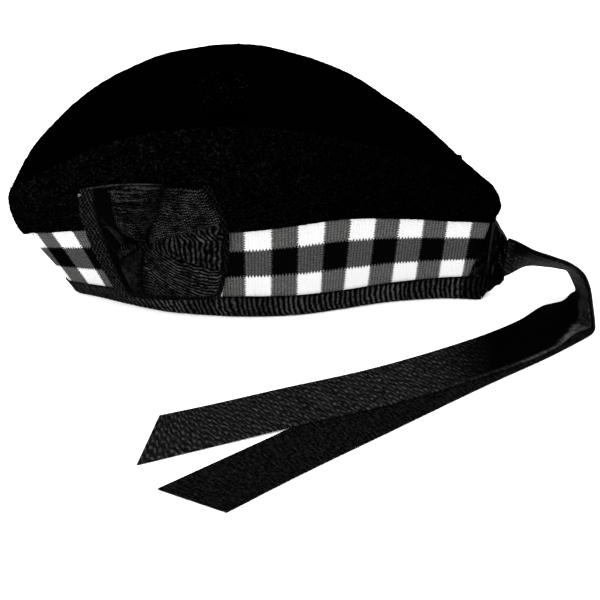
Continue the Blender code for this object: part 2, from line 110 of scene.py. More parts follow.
def smoothThrough(knots, values, at):
    # a cubic through the rows, with slopes taken from each row's neighbours
    knots, values = np.asarray(knots, float), np.asarray(values, float)
    slopes = np.empty_like(values)
    slopes[1:-1] = (values[2:] - values[:-2]) / (knots[2:] - knots[:-2])
    slopes[0] = (values[1] - values[0]) / (knots[1] - knots[0])
    slopes[-1] = (values[-1] - values[-2]) / (knots[-1] - knots[-2])
    row = np.clip(np.searchsorted(knots, at, side="right") - 1, 0, len(knots) - 2)
    span = knots[row + 1] - knots[row]
    t = (at - knots[row]) / span
    start = (1 + 2 * t) * (1 - t) ** 2 * values[row] + t * (1 - t) ** 2 * span * slopes[row]
    end = t * t * (3 - 2 * t) * values[row + 1] - t * t * (1 - t) * span * slopes[row + 1]
    return start + end


def tableColumn(name):
    return np.array([row[sectionNames.index(name)] for row in sectionRows])


def alongCap(name, dice, sign):
    # the table goes on past each end as the cap's other side does
    rows, values = tableColumn("dice"), tableColumn(name)
    knots = np.concatenate(([-rows[1]], rows, [2 * rows[-1] - rows[-2]]))
    values = np.concatenate(([sign * values[1]], values, [sign * values[-2]]))
    return smoothThrough(knots, values, dice)


def levelCurve(level, dice):
    frontLean, backLean, flare, height = {
        "rim": (0.0, 0.0, 0.0, 0.0),
        "hem": (cap["hemFrontLean"], cap["hemBackLean"], cap["hemFlare"], cap["hemHeight"]),
        "fold": (cap["foldFrontLean"], cap["foldBackLean"], cap["foldFlare"], cap["height"]),
    }[level]
    length = cap["rimLength"] + frontLean + backLean
    front = -cap["frontShare"] * cap["rimLength"] - frontLean
    x = front + length * alongCap(level + "X", dice, 1)
    y = (cap["rimHalfWidth"] + flare) * alongCap(level + "Y", dice, -1)
    z = height * alongCap(level + "Z", dice, 1) if height else np.zeros_like(x)
    return np.stack([x, -y, z], axis=-1)


def unit(vectors):
    return vectors / np.linalg.norm(vectors, axis=-1, keepdims=True)


def outward(dice, level):
    run = levelCurve(level, dice + 0.05) - levelCurve(level, dice - 0.05)
    return unit(np.stack([run[..., 1], -run[..., 0], np.zeros(run.shape[:-1])], axis=-1))


def outwardBetween(dice, low, high, share):
    share = np.asarray(share)[..., None]
    return unit(outward(dice, low) * (1 - share) + outward(dice, high) * share)


def hemHeight(dice):
    return cap["hemHeight"] * alongCap("hemZ", dice, 1)


def bandPoint(dice, height, out):
    # a point of the band's wall on the left, so high above the ground and so far out
    dice, height, out = np.broadcast_arrays(*(np.asarray(v, float) for v in (dice, height, out)))
    rim, hem = levelCurve("rim", dice), levelCurve("hem", dice)
    share = height / hem[..., 2]
    way = outwardBetween(dice, "rim", "hem", np.clip(share, 0, 1))
    return rim + (hem - rim) * share[..., None] + way * out[..., None]


def woolSide(dice, share, out):
    # a point of the wool's left side: share 0 at the hem's lap, 1 at the fold
    dice, share, out = np.broadcast_arrays(*(np.asarray(v, float) for v in (dice, share, out)))
    low = bandPoint(dice, hemHeight(dice) + cap["hemLap"], cap["wool"] + cap["gap"])
    fold = levelCurve("fold", dice)
    fromEnd = np.clip(np.minimum(dice, sectionRows[-1][0] - dice) / 4.0, 0, 1)
    bulge = cap["bulge"] * (0.1 + 0.9 * fromEnd) * 4 * share * (1 - share)
    way = outwardBetween(dice, "hem", "fold", share)
    return low + (fold - low) * share[..., None] + way * (bulge + out)[..., None]


def mirrorY(points):
    return points * np.array([1.0, -1.0, 1.0])


def gridFaces(rows, columns, closeRows=False, closeColumns=False):
    r, c = np.meshgrid(
        np.arange(rows - (not closeRows)), np.arange(columns - (not closeColumns)), indexing="ij")
    r2, c2 = (r + 1) % rows, (c + 1) % columns
    corners = [r * columns + c, r * columns + c2, r2 * columns + c2, r2 * columns + c]
    return np.stack(corners, axis=-1).reshape(-1, 4)


def tubeFaces(rings):
    # the wall through the rings, and a face over the first ring and the last
    rows, count = rings.shape[:2]
    last = (rows - 1) * count
    walls = gridFaces(rows, count, closeColumns=True).tolist()
    return [*walls, list(range(count))[::-1], list(range(last, last + count))]


def runAlong(points):
    return np.concatenate(([0.0], np.cumsum(np.linalg.norm(np.diff(points, axis=0), axis=1))))


def noiseAt(points, scale):
    return np.array([noise.noise(Vector(point) * scale) for point in points])


def noiseRun(run, scale, seed):
    return np.array([noise.noise(Vector((at * scale, seed, 0.0))) for at in run])


def noiseOver(x, y, size, seed):
    values = [noise.noise(Vector((p / size, q / size, seed))) for p, q in zip(x.ravel(), y.ravel())]
    return np.array(values).reshape(x.shape)


def smoothStep(low, high, value):
    t = np.clip((np.asarray(value, float) - low) / (high - low), 0, 1)
    return t * t * (3 - 2 * t)


def vectorsOf(items, name):
    # one vector for each vertex or face of a mesh
    values = np.empty(len(items) * 3)
    items.foreach_get(name, values)
    return values.reshape(-1, 3)


def addField(mesh, name, values):
    mesh.attributes.new(name, "FLOAT", "POINT").data.foreach_set("value", values.astype(np.float32))


def newPiece(name, points, faces, finish, uv=None, **fields):
    # fields hold one number for each point, and the finish reads them by name
    mesh = bpy.data.meshes.new(name)
    points = np.asarray(points, float).reshape(-1, 3)
    mesh.from_pydata(points.tolist(), [], [list(face) for face in faces])
    if uv is not None:
        uv = np.asarray(uv, float).reshape(-1, 2)
        corner = np.empty(len(mesh.loops), np.int32)
        mesh.loops.foreach_get("vertex_index", corner)
        mesh.uv_layers.new(name="UVMap").data.foreach_set("uv", uv[corner].ravel())
    for key, values in fields.items():
        values = np.broadcast_to(values, (len(points),)) if np.ndim(values) == 0 else np.ravel(values)
        addField(mesh, key, values)
    mesh.materials.append(finish)
    made = bpy.data.objects.new(name, mesh)
    bpy.context.scene.collection.objects.link(made)
    return made


def onlySelect(piece):
    bpy.ops.object.select_all(action="DESELECT")
    piece.select_set(True)
    bpy.context.view_layer.objects.active = piece


mergeDistance = 2e-6


def mergeDoubles(piece):
    # one point where several meet, no empty faces, and every face outward
    onlySelect(piece)
    bpy.ops.object.mode_set(mode="EDIT")
    bpy.ops.mesh.select_all(action="SELECT")
    bpy.ops.mesh.remove_doubles(threshold=mergeDistance)
    bpy.ops.mesh.dissolve_degenerate(threshold=mergeDistance)
    bpy.ops.mesh.normals_make_consistent(inside=False)
    bpy.ops.object.mode_set(mode="OBJECT")


def smoothShade(piece):
    onlySelect(piece)
    bpy.ops.object.shade_smooth_by_angle(angle=math.radians(60.0))


def thicken(piece, thickness, offset):
    # offset -1 grows the cloth inward from its points, 0 to both sides of them
    wall = piece.modifiers.new("wall", "SOLIDIFY")
    wall.thickness = thickness
    wall.offset = offset
    onlySelect(piece)
    bpy.ops.object.modifier_apply(modifier=wall.name)
    smoothShade(piece)


def ridesOn(piece, slotName, *nodes):
    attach(piece, "root")
    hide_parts(*nodes)
    print("made", piece.name, len(piece.data.polygons), "faces")


def makeTube(name, rings, uv, finish, slotName, node, **fields):
    made = newPiece(name, rings, tubeFaces(rings), finish, uv, **fields)
    mergeDoubles(made)
    smoothShade(made)
    ridesOn(made, slotName, node)


# Materials
def newMaterial(name, **sockets):
    made = bpy.data.materials.new(name)
    made.use_nodes = True
    shader = made.node_tree.nodes["Principled BSDF"]
    for key, value in sockets.items():
        shader.inputs[key.replace("_", " ")].default_value = value
    return made, made.node_tree, shader


def addNode(tree, kind, **values):
    made = tree.nodes.new(kind)
    for key, value in values.items():
        setattr(made, key, value)
    return made


def mathNode(tree, operation, a, b=None, c=None, clamp=False):
    made = addNode(tree, "ShaderNodeMath", operation=operation, use_clamp=clamp)
    for index, value in enumerate((a, b, c)):
        if value is None:
            continue
        if isinstance(value, (int, float)):
            made.inputs[index].default_value = value
        else:
            tree.links.new(value, made.inputs[index])
    return made.outputs[0]


def mixColours(tree, factor, first, second):
    made = addNode(tree, "ShaderNodeMix", data_type="RGBA")
    for socket, value in ((made.inputs[0], factor), (made.inputs[6], first), (made.inputs[7], second)):
        if isinstance(value, (int, float)):
            socket.default_value = value
        elif isinstance(value, tuple):
            socket.default_value = (*value, 1.0)
        else:
            tree.links.new(value, socket)
    return made.outputs[2]


def noiseNode(tree, vector, scale, detail=2.0, roughness=0.5):
    made = addNode(tree, "ShaderNodeTexNoise")
    made.inputs["Scale"].default_value = scale
    made.inputs["Detail"].default_value = detail
    made.inputs["Roughness"].default_value = roughness
    tree.links.new(vector, made.inputs["Vector"])
    return made.outputs["Fac"]


def bumpInto(tree, shader, height, distance):
    made = addNode(tree, "ShaderNodeBump")
    made.inputs["Strength"].default_value = 1.0
    made.inputs["Distance"].default_value = distance
    tree.links.new(height, made.inputs["Height"])
    tree.links.new(made.outputs["Normal"], shader.inputs["Normal"])


def objectCoords(tree):
    return addNode(tree, "ShaderNodeTexCoord").outputs["Object"]


def uvCoords(tree):
    return addNode(tree, "ShaderNodeTexCoord").outputs["UV"]


def uvParts(tree):
    split = addNode(tree, "ShaderNodeSeparateXYZ")
    tree.links.new(uvCoords(tree), split.inputs[0])
    return split.outputs[0], split.outputs[1]


def fieldNode(tree, name):
    return addNode(tree, "ShaderNodeAttribute", attribute_name=name).outputs["Fac"]


def waveNode(tree, value, pitch):
    # 0 in the valleys and 1 on the crests
    wave = mathNode(tree, "SINE", mathNode(tree, "MULTIPLY", value, 2 * math.pi / pitch))
    return mathNode(tree, "MULTIPLY_ADD", wave, 0.5, 0.5)


def spread(tree, value, low, high):
    # stretches a narrow range of a noise to the whole of 0 to 1
    return mathNode(tree, "MULTIPLY_ADD", value, 1 / (high - low), -low / (high - low), clamp=True)


def makeFibreGroup():
    # the uneven dark fibres of milled wool: most of them black, a few painted lighter as if catching the
    # light, as strongly as the Lit input says
    group = bpy.data.node_groups.new("woolFibres", "ShaderNodeTree")
    for name, value in (("Scale", 850.0), ("Patch", 90.0), ("Dark", 0.0003), ("Light", 0.006), ("Lit", 1.0)):
        socket = group.interface.new_socket(name, in_out="INPUT", socket_type="NodeSocketFloat")
        socket.default_value = value
    group.interface.new_socket("Colour", in_out="OUTPUT", socket_type="NodeSocketColor")
    group.interface.new_socket("Height", in_out="OUTPUT", socket_type="NodeSocketFloat")
    inside, outside = addNode(group, "NodeGroupInput"), addNode(group, "NodeGroupOutput")
    where = objectCoords(group)
    fine = noiseNode(group, where, 1.0, 2.0, 0.55)
    patch = noiseNode(group, where, 1.0, 1.0)
    group.links.new(inside.outputs["Scale"], fine.node.inputs["Scale"])
    group.links.new(inside.outputs["Patch"], patch.node.inputs["Scale"])
    spots = mathNode(group, "POWER", spread(group, fine, 0.42, 0.74), 2.2)
    uneven = mathNode(group, "MULTIPLY_ADD", spread(group, patch, 0.25, 0.75), 0.7, 0.3)
    lit = mathNode(group, "MULTIPLY", mathNode(group, "MULTIPLY", spots, uneven), inside.outputs["Lit"])
    span = mathNode(group, "SUBTRACT", inside.outputs["Light"], inside.outputs["Dark"])
    shade = mathNode(group, "MULTIPLY_ADD", lit, span, inside.outputs["Dark"])
    colour = addNode(group, "ShaderNodeCombineColor")
    for socket in colour.inputs[:3]:
        group.links.new(shade, socket)
    group.links.new(colour.outputs[0], outside.inputs["Colour"])
    group.links.new(fine, outside.inputs["Height"])
    return group


fibreGroup = makeFibreGroup()
woolBump = 0.0006
woolLooks = {
    "milledWool": {"Scale": 700.0, "Patch": 120.0, "Dark": 0.0001, "Light": 0.0072},
    "woolNap": {"Scale": 500.0, "Patch": 60.0, "Dark": 0.0001, "Light": 0.0050},
    "tuftWool": {"Scale": 600.0, "Patch": 200.0, "Dark": 0.0001, "Light": 0.0090},
}


def makeWoolMaterial(name, look):
    made, tree, shader = newMaterial(name, Roughness=1.0, Specular_IOR_Level=0.0)
    fibres = addNode(tree, "ShaderNodeGroup")
    fibres.node_tree = fibreGroup
    for key, value in look.items():
        fibres.inputs[key].default_value = value
    # the painted light field says how strongly the fibres are painted lit
    tree.links.new(fieldNode(tree, "lustre"), fibres.inputs["Lit"])
    tree.links.new(fibres.outputs["Colour"], shader.inputs["Base Color"])
    bumpInto(tree, shader, fibres.outputs["Height"], woolBump)
    return made


# middleGrey is the middle row's grey as a share of the outer rows'; the teeth are shares of a dice
knitLook = {
    "white": 0.505, "grey": 0.066, "middleGrey": 0.70, "black": 0.0009,
    "walesPerDice": 8.0, "stitchesPerRow": 11.0, "tooth": 0.056, "edgeTooth": 0.044,
    "roughness": 0.95, "bump": 0.00035,
}


def makeKnitMaterial(look):
    made, tree, shader = newMaterial("dicedKnit", Roughness=look["roughness"], Specular_IOR_Level=0.0)
    dice, row = uvParts(tree)
    uneven = mathNode(tree, "SUBTRACT", noiseNode(tree, uvCoords(tree), 9.0, 2.0), 0.5)
    speckle = noiseNode(tree, objectCoords(tree), 1500.0, 2.0)
    # distance from a wale's middle: 0 in the middle and 1 in the valley between two wales
    wale = mathNode(tree, "FRACT", mathNode(tree, "MULTIPLY", dice, look["walesPerDice"]))
    fromMiddle = mathNode(tree, "ABSOLUTE", mathNode(tree, "SUBTRACT", wale, 0.5))
    valley = mathNode(tree, "MULTIPLY", fromMiddle, 2.0)
    # stitches are chevrons, so a colour ends in teeth above and below, and in loops at its sides
    shaken = mathNode(tree, "MULTIPLY_ADD", uneven, 0.10, row)
    tooth = mathNode(tree, "SUBTRACT", valley, 0.5)
    toothed = mathNode(tree, "MULTIPLY_ADD", tooth, 2 * look["tooth"], shaken)
    slope = mathNode(tree, "MULTIPLY", valley, 0.5)
    phase = mathNode(tree, "FRACT", mathNode(tree, "MULTIPLY_ADD", row, look["stitchesPerRow"], slope))
    stitch = mathNode(tree, "ABSOLUTE", mathNode(tree, "MULTIPLY_ADD", phase, 2.0, -1.0))
    shaken = mathNode(tree, "MULTIPLY_ADD", uneven, 0.09, dice)
    loop = mathNode(tree, "SUBTRACT", stitch, 0.5)
    across = mathNode(tree, "MULTIPLY_ADD", loop, 2 * look["edgeTooth"], shaken)
    odd = mathNode(tree, "MODULO", mathNode(tree, "FLOOR", across), 2.0)
    middle = mathNode(tree, "COMPARE", mathNode(tree, "FLOOR", toothed), 1.0, 0.1)
    w, g, k = look["white"], look["grey"], look["black"]
    m = g * look["middleGrey"]
    even = mixColours(tree, middle, (w, w, w), (m, m, m))
    other = mixColours(tree, middle, (g, g, g * 0.98), (k, k, k))
    colour = mixColours(tree, odd, even, other)
    # painted shade in the pits between the loops, faint on white yarn
    betweenRows = mathNode(tree, "MULTIPLY_ADD", stitch, 0.55, 0.45)
    pitShade = mathNode(tree, "MULTIPLY", mathNode(tree, "POWER", valley, 2.4), betweenRows)
    notMiddle = mathNode(tree, "SUBTRACT", 1.0, middle)
    isWhite = mathNode(tree, "MULTIPLY", mathNode(tree, "SUBTRACT", 1.0, odd), notMiddle)
    depth = mathNode(tree, "MULTIPLY_ADD", isWhite, -0.93, 0.95)
    shade = mathNode(tree, "SUBTRACT", 1.0, mathNode(tree, "MULTIPLY", pitShade, depth))
    # each yarn is flecked, the white one least
    fleck = mathNode(tree, "MULTIPLY_ADD", isWhite, -1.02, 1.10)
    lowest = mathNode(tree, "MULTIPLY_ADD", isWhite, 0.45, 0.50)
    flecks = mathNode(tree, "MULTIPLY_ADD", spread(tree, speckle, 0.32, 0.68), fleck, lowest)
    shade = mathNode(tree, "MULTIPLY", shade, flecks)
    mixed = addNode(tree, "ShaderNodeMix", data_type="RGBA", blend_type="MULTIPLY")
    mixed.inputs[0].default_value = 1.0
    tree.links.new(colour, mixed.inputs[6])
    tree.links.new(shade, mixed.inputs[7])
    tree.links.new(mixed.outputs[2], shader.inputs["Base Color"])
    loops = mathNode(tree, "SUBTRACT", 1.0, mathNode(tree, "MULTIPLY", stitch, stitch))
    raised = mathNode(tree, "MULTIPLY_ADD", speckle, 0.6, loops)
    raised = mathNode(tree, "MULTIPLY", raised, mathNode(tree, "MULTIPLY_ADD", isWhite, -0.7, 1.0))
    bumpInto(tree, shader, raised, look["bump"])
    return made


# crest is the colour of the painted highlights on the ribs' crests
silkLook = {
    "dark": 0.0001, "crest": 0.0325, "wander": 0.0022, "zigzag": 0.00045,
    "ribPitch": 0.00125, "grainPitch": 0.0026, "threadPitch": 0.00035,
    "roughness": 0.55, "coatRoughness": 0.35, "bump": 0.0003,
}


def makeSilkMaterial(look):
    # watered silk: fine ribs, flattened along wavy lines of grain
    made, tree, shader = newMaterial(
        "ribbedSilk", Roughness=look["roughness"], Specular_IOR_Level=0.002,
        Coat_Roughness=look["coatRoughness"])
    along, across = uvParts(tree)
    where = objectCoords(tree)
    drift = mathNode(tree, "SUBTRACT", noiseNode(tree, where, 230.0, 2.0), 0.5)
    wander = mathNode(tree, "MULTIPLY", drift, look["wander"])
    rib = waveNode(tree, mathNode(tree, "MULTIPLY_ADD", wander, 0.35, along), look["ribPitch"])
    zigzag = mathNode(tree, "SINE", mathNode(tree, "MULTIPLY", along, math.pi / look["ribPitch"]))
    grain = mathNode(tree, "MULTIPLY_ADD", zigzag, look["zigzag"], fieldNode(tree, "grain"))
    line = waveNode(tree, mathNode(tree, "ADD", wander, grain), look["grainPitch"])
    line = mathNode(tree, "POWER", line, 2.3)
    patch = spread(tree, noiseNode(tree, where, 620.0, 2.0), 0.34, 0.68)
    # painted highlights: the ribs' crests along the grain lines are painted bright in the base colour, as
    # strongly as the painted light field says
    paintedHighlight = mathNode(tree, "MULTIPLY", line, mathNode(tree, "MULTIPLY_ADD", rib, 0.80, 0.20))
    paintedHighlight = mathNode(tree, "MULTIPLY", paintedHighlight, mathNode(tree, "MULTIPLY_ADD", patch, 1.45, 0.10))
    paintedHighlight = mathNode(tree, "MULTIPLY", paintedHighlight, fieldNode(tree, "lustre"))
    # painted sheen: where a fold faces the light the cloth is painted brighter as a whole
    gleam = mathNode(tree, "MULTIPLY_ADD", patch, 0.8, 0.2)
    paintedHighlight = mathNode(tree, "ADD", paintedHighlight, mathNode(tree, "MULTIPLY", fieldNode(tree, "sheen"), gleam))
    d, c = look["dark"], look["crest"]
    tree.links.new(mixColours(tree, paintedHighlight, (d, d, d), (c, c, c * 0.985)), shader.inputs["Base Color"])
    tree.links.new(mathNode(tree, "MULTIPLY", paintedHighlight, 0.10, clamp=True), shader.inputs["Coat Weight"])
    thread = waveNode(tree, across, look["threadPitch"])
    ribbed = mathNode(tree, "MULTIPLY_ADD", thread, 0.08, rib)
    bumpInto(tree, shader, mathNode(tree, "MULTIPLY_ADD", line, 0.5, ribbed), look["bump"])
    return made


wool, napWool, tuftWool = (makeWoolMaterial(name, look) for name, look in woolLooks.items())
knit = makeKnitMaterial(knitLook)
silk = makeSilkMaterial(silkLook)
print("materials made")

# Wool
woolValues = {
    "stations": 200, "crowding": 1.15, "sideRows": 30, "creaseRows": 9, "crease": 0.9,
    "crownRows": 44, "edgeRows": 7, "inner": 0.93,
    "easePasses": 40, "easeReach": 7, "ease": 0.12, "endEase": 0.9,
    "endDice": 2.2, "endBulge": 0.0026, "frontBulge": 0.0008, "endWidth": 0.010,
    "undulation": 0.0005, "undulationScale": 45.0, "pilling": 0.00028, "pillingScale": 280.0,
    "crownPaintedLight": 0.03, "sidePaintedLight": 1.0,
}


def woolPaths(values):
    # one path over the cap for each station: up the left side, over the crown, down the right
    last = sectionRows[-1][0]
    dice = last * np.linspace(0, 1, values["stations"]) ** values["crowding"]
    column = dice[:, None]
    crease, inner = values["crease"], values["inner"]
    side = np.concatenate((
        np.linspace(0, crease, values["sideRows"]), np.linspace(crease, 1, values["creaseRows"])[1:]))
    hem = bandPoint(column, hemHeight(column), cap["wool"] + cap["gap"])
    left = np.concatenate([hem, woolSide(column, side[None, :], 0.0)], axis=1)
    # both ends belly out between the hem and the fold
    atEnd = smoothStep(last - values["endDice"], last, dice)
    atFront = smoothStep(values["endDice"], 0, dice)
    belly = np.sin(math.pi * np.concatenate(([0], side))) ** 0.8
    left[..., 0] += values["endBulge"] * atEnd[:, None] * belly
    left[..., 0] -= values["frontBulge"] * atFront[:, None] * belly
    fold = levelCurve("fold", dice)
    crownZ = cap["height"] * alongCap("crownZ", dice, 1)
    place = np.concatenate((
        np.linspace(-1, -inner, values["edgeRows"])[1:],
        np.linspace(-inner, inner, values["crownRows"])[1:-1],
        np.linspace(inner, 1, values["edgeRows"])[:-1]))
    rise = np.abs(place) ** cap["hollow"]
    crown = np.stack([
        np.repeat(fold[:, :1], len(place), axis=1),
        -place[None, :] * fold[:, 1:2],
        crownZ[:, None] + (fold[:, 2] - crownZ)[:, None] * rise[None, :],
    ], axis=-1)
    paths = np.concatenate([left, crown, mirrorY(left)[:, ::-1]], axis=1)
    # the fold is a soft edge, and softer still at the back end
    near = left.shape[1] - 1
    far = paths.shape[1] - 1 - near
    weight = (values["ease"] + (values["endEase"] - values["ease"]) * atEnd)[:, None, None]
    for corner in (near, far):
        first, end = corner - values["easeReach"], corner + values["easeReach"] + 1
        for _ in range(values["easePasses"]):
            eased = (paths[:, first - 1:end - 1] + paths[:, first + 1:end + 1]) / 2
            paths[:, first:end] += (eased - paths[:, first:end]) * weight / 2
    # towards each end the crown narrows to nothing, and its middle follows its eased edges
    share = np.linspace(0, 1, far - near + 1)[None, :, None]
    straight = paths[:, [near]] * (1 - share) + paths[:, [far]] * share
    narrow = smoothStep(values["endWidth"], 0.0005, np.abs(fold[:, 1]))[:, None, None]
    paths[:, near:far + 1] += (straight - paths[:, near:far + 1]) * narrow
    return paths


def woolPaintedLight(values, points, normals):
    # painted light: the sides, the left one most and most of all towards the front, are painted with lit
    # fibres, and the crown, which faces up, hardly
    facing = np.clip(-0.35 * normals[:, 0] - 0.9 * normals[:, 1], 0, 1)
    facing = np.maximum(facing, 0.45 * np.abs(normals[:, 1])) * smoothStep(0.66, 0.42, normals[:, 2])
    towardsFront = 0.45 + 0.85 * smoothStep(0.12, -0.10, points[:, 0])
    return values["crownPaintedLight"] + values["sidePaintedLight"] * facing ** 1.3 * towardsFront


def makeWool(values):
    paths = woolPaths(values)
    made = newPiece("woolBody", paths, gridFaces(*paths.shape[:2]), wool)
    mergeDoubles(made)
    mesh = made.data
    top = max(mesh.polygons, key=lambda face: face.center.z)
    if top.normal.z < 0:
        mesh.flip_normals()
    points, normals = vectorsOf(mesh.vertices, "co"), vectorsOf(mesh.vertices, "normal")
    soft = noiseAt(points, values["undulationScale"]) * values["undulation"]
    soft += noiseAt(points, values["pillingScale"]) * values["pilling"]
    points += normals * soft[:, None]
    mesh.vertices.foreach_set("co", points.ravel())
    addField(mesh, "lustre", woolPaintedLight(values, points, normals))
    thicken(made, cap["wool"], -1.0)
    ridesOn(made, "milled_wool", "wool_body")
    return made


woolBody = makeWool(woolValues)

napValues = {
    "count": 38000, "length": 0.0014, "evenShare": 0.35, "unevenShare": 0.6, "longest": 0.0036,
    "width": 0.00020, "spread": 0.9, "lift": 0.25, "curl": 0.3,
}


def makeNap(values, carrier):
    # short fibres that stand off the milled face, a few of them long
    mesh = carrier.data
    centres, normals = vectorsOf(mesh.polygons, "center"), vectorsOf(mesh.polygons, "normal")
    areas = np.empty(len(mesh.polygons))
    mesh.polygons.foreach_get("area", areas)
    inside = np.array([0.0, 0.0, 0.03])
    outer = ((centres - inside) * normals).sum(axis=1) > 0
    outer |= normals[:, 2] > 0.3
    keep = np.flatnonzero(outer)
    chosen = keep[random.choice(len(keep), values["count"], p=areas[keep] / areas[keep].sum())]
    corners = np.array([
        [mesh.vertices[i].co for i in (list(mesh.polygons[face].vertices) * 2)[:4]] for face in chosen])
    weights = random.dirichlet(np.ones(4), len(chosen))
    base = (corners * weights[..., None]).sum(axis=1)
    way = unit(normals[chosen] + values["spread"] * random.normal(size=base.shape))
    way = unit(way + normals[chosen] * values["lift"])
    share = values["evenShare"] + random.exponential(values["unevenShare"], len(base))
    length = np.minimum(values["length"] * share[:, None], values["longest"])
    bend = random.normal(size=base.shape) * length * values["curl"]
    side = unit(np.cross(way, random.normal(size=base.shape))) * values["width"] / 2
    middle = base + way * length * 0.55 + bend * 0.4
    tip = base + way * length + bend
    points = np.stack([
        base - side, base + side, middle + side * 0.8, middle - side * 0.8, tip], axis=1)
    start = np.arange(len(base))[:, None] * 5
    faces = [*(start + np.array([[0, 1, 2, 3]])).tolist(), *(start + np.array([[3, 2, 4]])).tolist()]
    # the nap gets the same painted light as the wool under it, varied at random
    lustre = woolPaintedLight(woolValues, base, normals[chosen]) * random.uniform(0.3, 1.5, len(base))
    made = newPiece("woolNap", points.reshape(-1, 3), faces, napWool, lustre=np.repeat(lustre, 5))
    ridesOn(made, "milled_wool")


makeNap(napValues, woolBody)

# Band
# middleRow is where the middle row of dice starts and ends, from the binding to the hem
bandValues = {
    "samplesPerWale": 5, "relief": 0.00028, "outerRows": 30, "innerRows": 7, "middleRow": (0.30, 0.69),
}
binding = {
    "height": 0.0135, "innerHeight": 0.0110, "round": 0.0012, "relief": 0.00014, "samplesPerRib": 4,
    "barPitch": 0.00300, "slant": 0.20, "bow": 0.0010, "uneven": 0.0009,
    "lustre": 0.88, "darkEnd": 0.0150, "dullFront": 0.055,
}
# how high the binding stands along the cap, by dice, as shares of its height
bindingShares = ((0, 0.55), (2, 0.72), (5, 1.00), (10, 1.21), (14, 1.13), (17, 1.17), (20, 1.21))


def bindingHeight(dice):
    rows = np.array(bindingShares)
    return binding["height"] * np.interp(dice, rows[:, 0], rows[:, 1])


def bothSides(left, right):
    # the left side from its back end round the front, and along the right to the back
    return np.concatenate([left[::-1], right[1:]])


def makeBand(values):
    steps = int(cap["bandDice"] * knitLook["walesPerDice"] * values["samplesPerWale"])
    column = np.linspace(0, cap["bandDice"], steps + 1)[:, None]
    bottom, top = cap["tape"] + cap["gap"], hemHeight(column) + (cap["hemLap"] - cap["gap"])
    wale = column * knitLook["walesPerDice"]
    relief = values["relief"] * (np.abs(np.sin(math.pi * wale)) ** 0.7 - 1.0)
    up = np.concatenate([np.linspace(0, 1, values["outerRows"]), np.linspace(1, 0, values["innerRows"])])
    isOuter = np.arange(len(up)) < values["outerRows"]
    height = bottom + (top - bottom) * up
    left = bandPoint(column, height, np.where(isOuter, relief, -cap["knit"]))
    # the hem and the binding each cover a part of the outer rows
    rowStart, rowEnd = values["middleRow"]
    covered = bindingHeight(column)
    row = 1 + ((height - covered) / (hemHeight(column) - covered) - rowStart) / (rowEnd - rowStart)
    uv = np.stack([column + 0 * row, row], axis=-1)
    makeTube(
        "dicedBand", bothSides(left, mirrorY(left)), bothSides(uv, uv), knit, "diced_knit", "diced_band")


makeBand(bandValues)


def makeBinding(values):
    # tape folded round the band's lower edge, its ribs across it
    fine = np.linspace(0, cap["bandDice"], 4001)
    line = bandPoint(fine, np.full(fine.shape, values["height"] / 2), cap["tape"])
    run = runAlong(line)
    steps = int(run[-1] / silkLook["ribPitch"] * values["samplesPerRib"])
    arc = np.linspace(0, run[-1], steps + 1)
    dice = np.interp(arc, run, fine)
    outside = cap["gap"] + cap["tape"]
    inside = -(cap["knit"] + outside)
    # the outer skin from its top edge down, round the fold and up inside, then back along the knit
    r = values["round"]
    skin = [(values["height"] * s, outside) for s in np.linspace(1, 0.16, 8)]
    turn = np.linspace(0, math.pi, 9)[1:-1]
    middle, half = (outside + inside) / 2, (outside - inside) / 2
    skin += [(r * (1 - math.sin(t)), middle + half * math.cos(t)) for t in turn]
    skin += [(values["innerHeight"] * s, inside) for s in np.linspace(0.16, 1, 6)]
    foot = cap["tape"] * 1.4
    back = [(values["innerHeight"], inside + cap["tape"]), (foot, inside + cap["tape"]),
            (foot, cap["gap"]), (values["height"], cap["gap"])]
    profile = np.array(skin + back)
    up, out = profile.T
    isSkin = np.arange(len(profile)) < len(skin)
    wave = values["relief"] * np.cos(2 * math.pi * arc / values["barPitch"])
    ribbed = out + np.sign(out - middle) * wave[:, None]
    grown = up * bindingHeight(dice)[:, None] / values["height"]
    left = bandPoint(dice[:, None], grown, np.where(isSkin, ribbed, out))
    noRibs = 0 * arc[:, None] + silkLook["ribPitch"] / 4
    uv = np.stack(np.broadcast_arrays(noRibs, runAlong(profile)), axis=-1)
    # heavy bars every few ribs, uneven in width and a little slanted; the knit side is painted dark as shade
    uneven = noiseRun(arc, 140.0, 0.5) * values["uneven"]
    bars = arc[:, None] + uneven[:, None] + values["slant"] * up
    bars = bars + values["bow"] * np.sin(math.pi * up / values["height"])
    grain = bars * silkLook["grainPitch"] / values["barPitch"]
    # painted light: less along the top edge and fading towards the back end; at the front the bars get less
    # of it, and an even painted sheen instead
    edge = smoothStep(values["height"], values["height"] * 0.86, up)
    shown = values["lustre"] * np.where(isSkin, 0.15 + 0.85 * edge, 0.1)
    strong = noiseRun(arc, 60.0, 7.5)
    toEnd = smoothStep(values["darkEnd"] * 0.7, values["darkEnd"], run[-1] - arc)
    dull = smoothStep(values["dullFront"] * 1.3, values["dullFront"] * 0.7, arc)
    bright = (1 + 0.7 * strong) * (0.15 + 0.85 * toEnd) * (1 - 0.75 * dull)
    lustre = shown * bright[:, None]
    sheen = 0.13 * dull[:, None] * isSkin
    makeTube(
        "rimBinding", bothSides(left, mirrorY(left)), bothSides(uv, uv), silk, "ribbed_silk",
        "rim_binding", grain=bothSides(grain, -grain), lustre=bothSides(lustre, lustre),
        sheen=bothSides(sheen, sheen))


makeBinding(binding)

# Ribbon tails
tails = {
    "width": 0.032, "thickness": 0.00072, "reach": 0.064, "spread": 0.190, "loopHeight": 0.025,
    "slant": 57.0, "looseShare": 0.90, "relief": 0.00005, "samplesPerRib": 5, "across": 16,
    "chop": 0.5, "grainTurn": -32.0,
}
# how much of the upper tail's width is painted lit, from its near edge, where it turns over: run in
# millimetres
litRuns = (46, 50, 62, 73, 85, 103, 140)
litShares = (1.3, 0.2, 0.2, -0.5, -0.84, -0.95, -0.97)
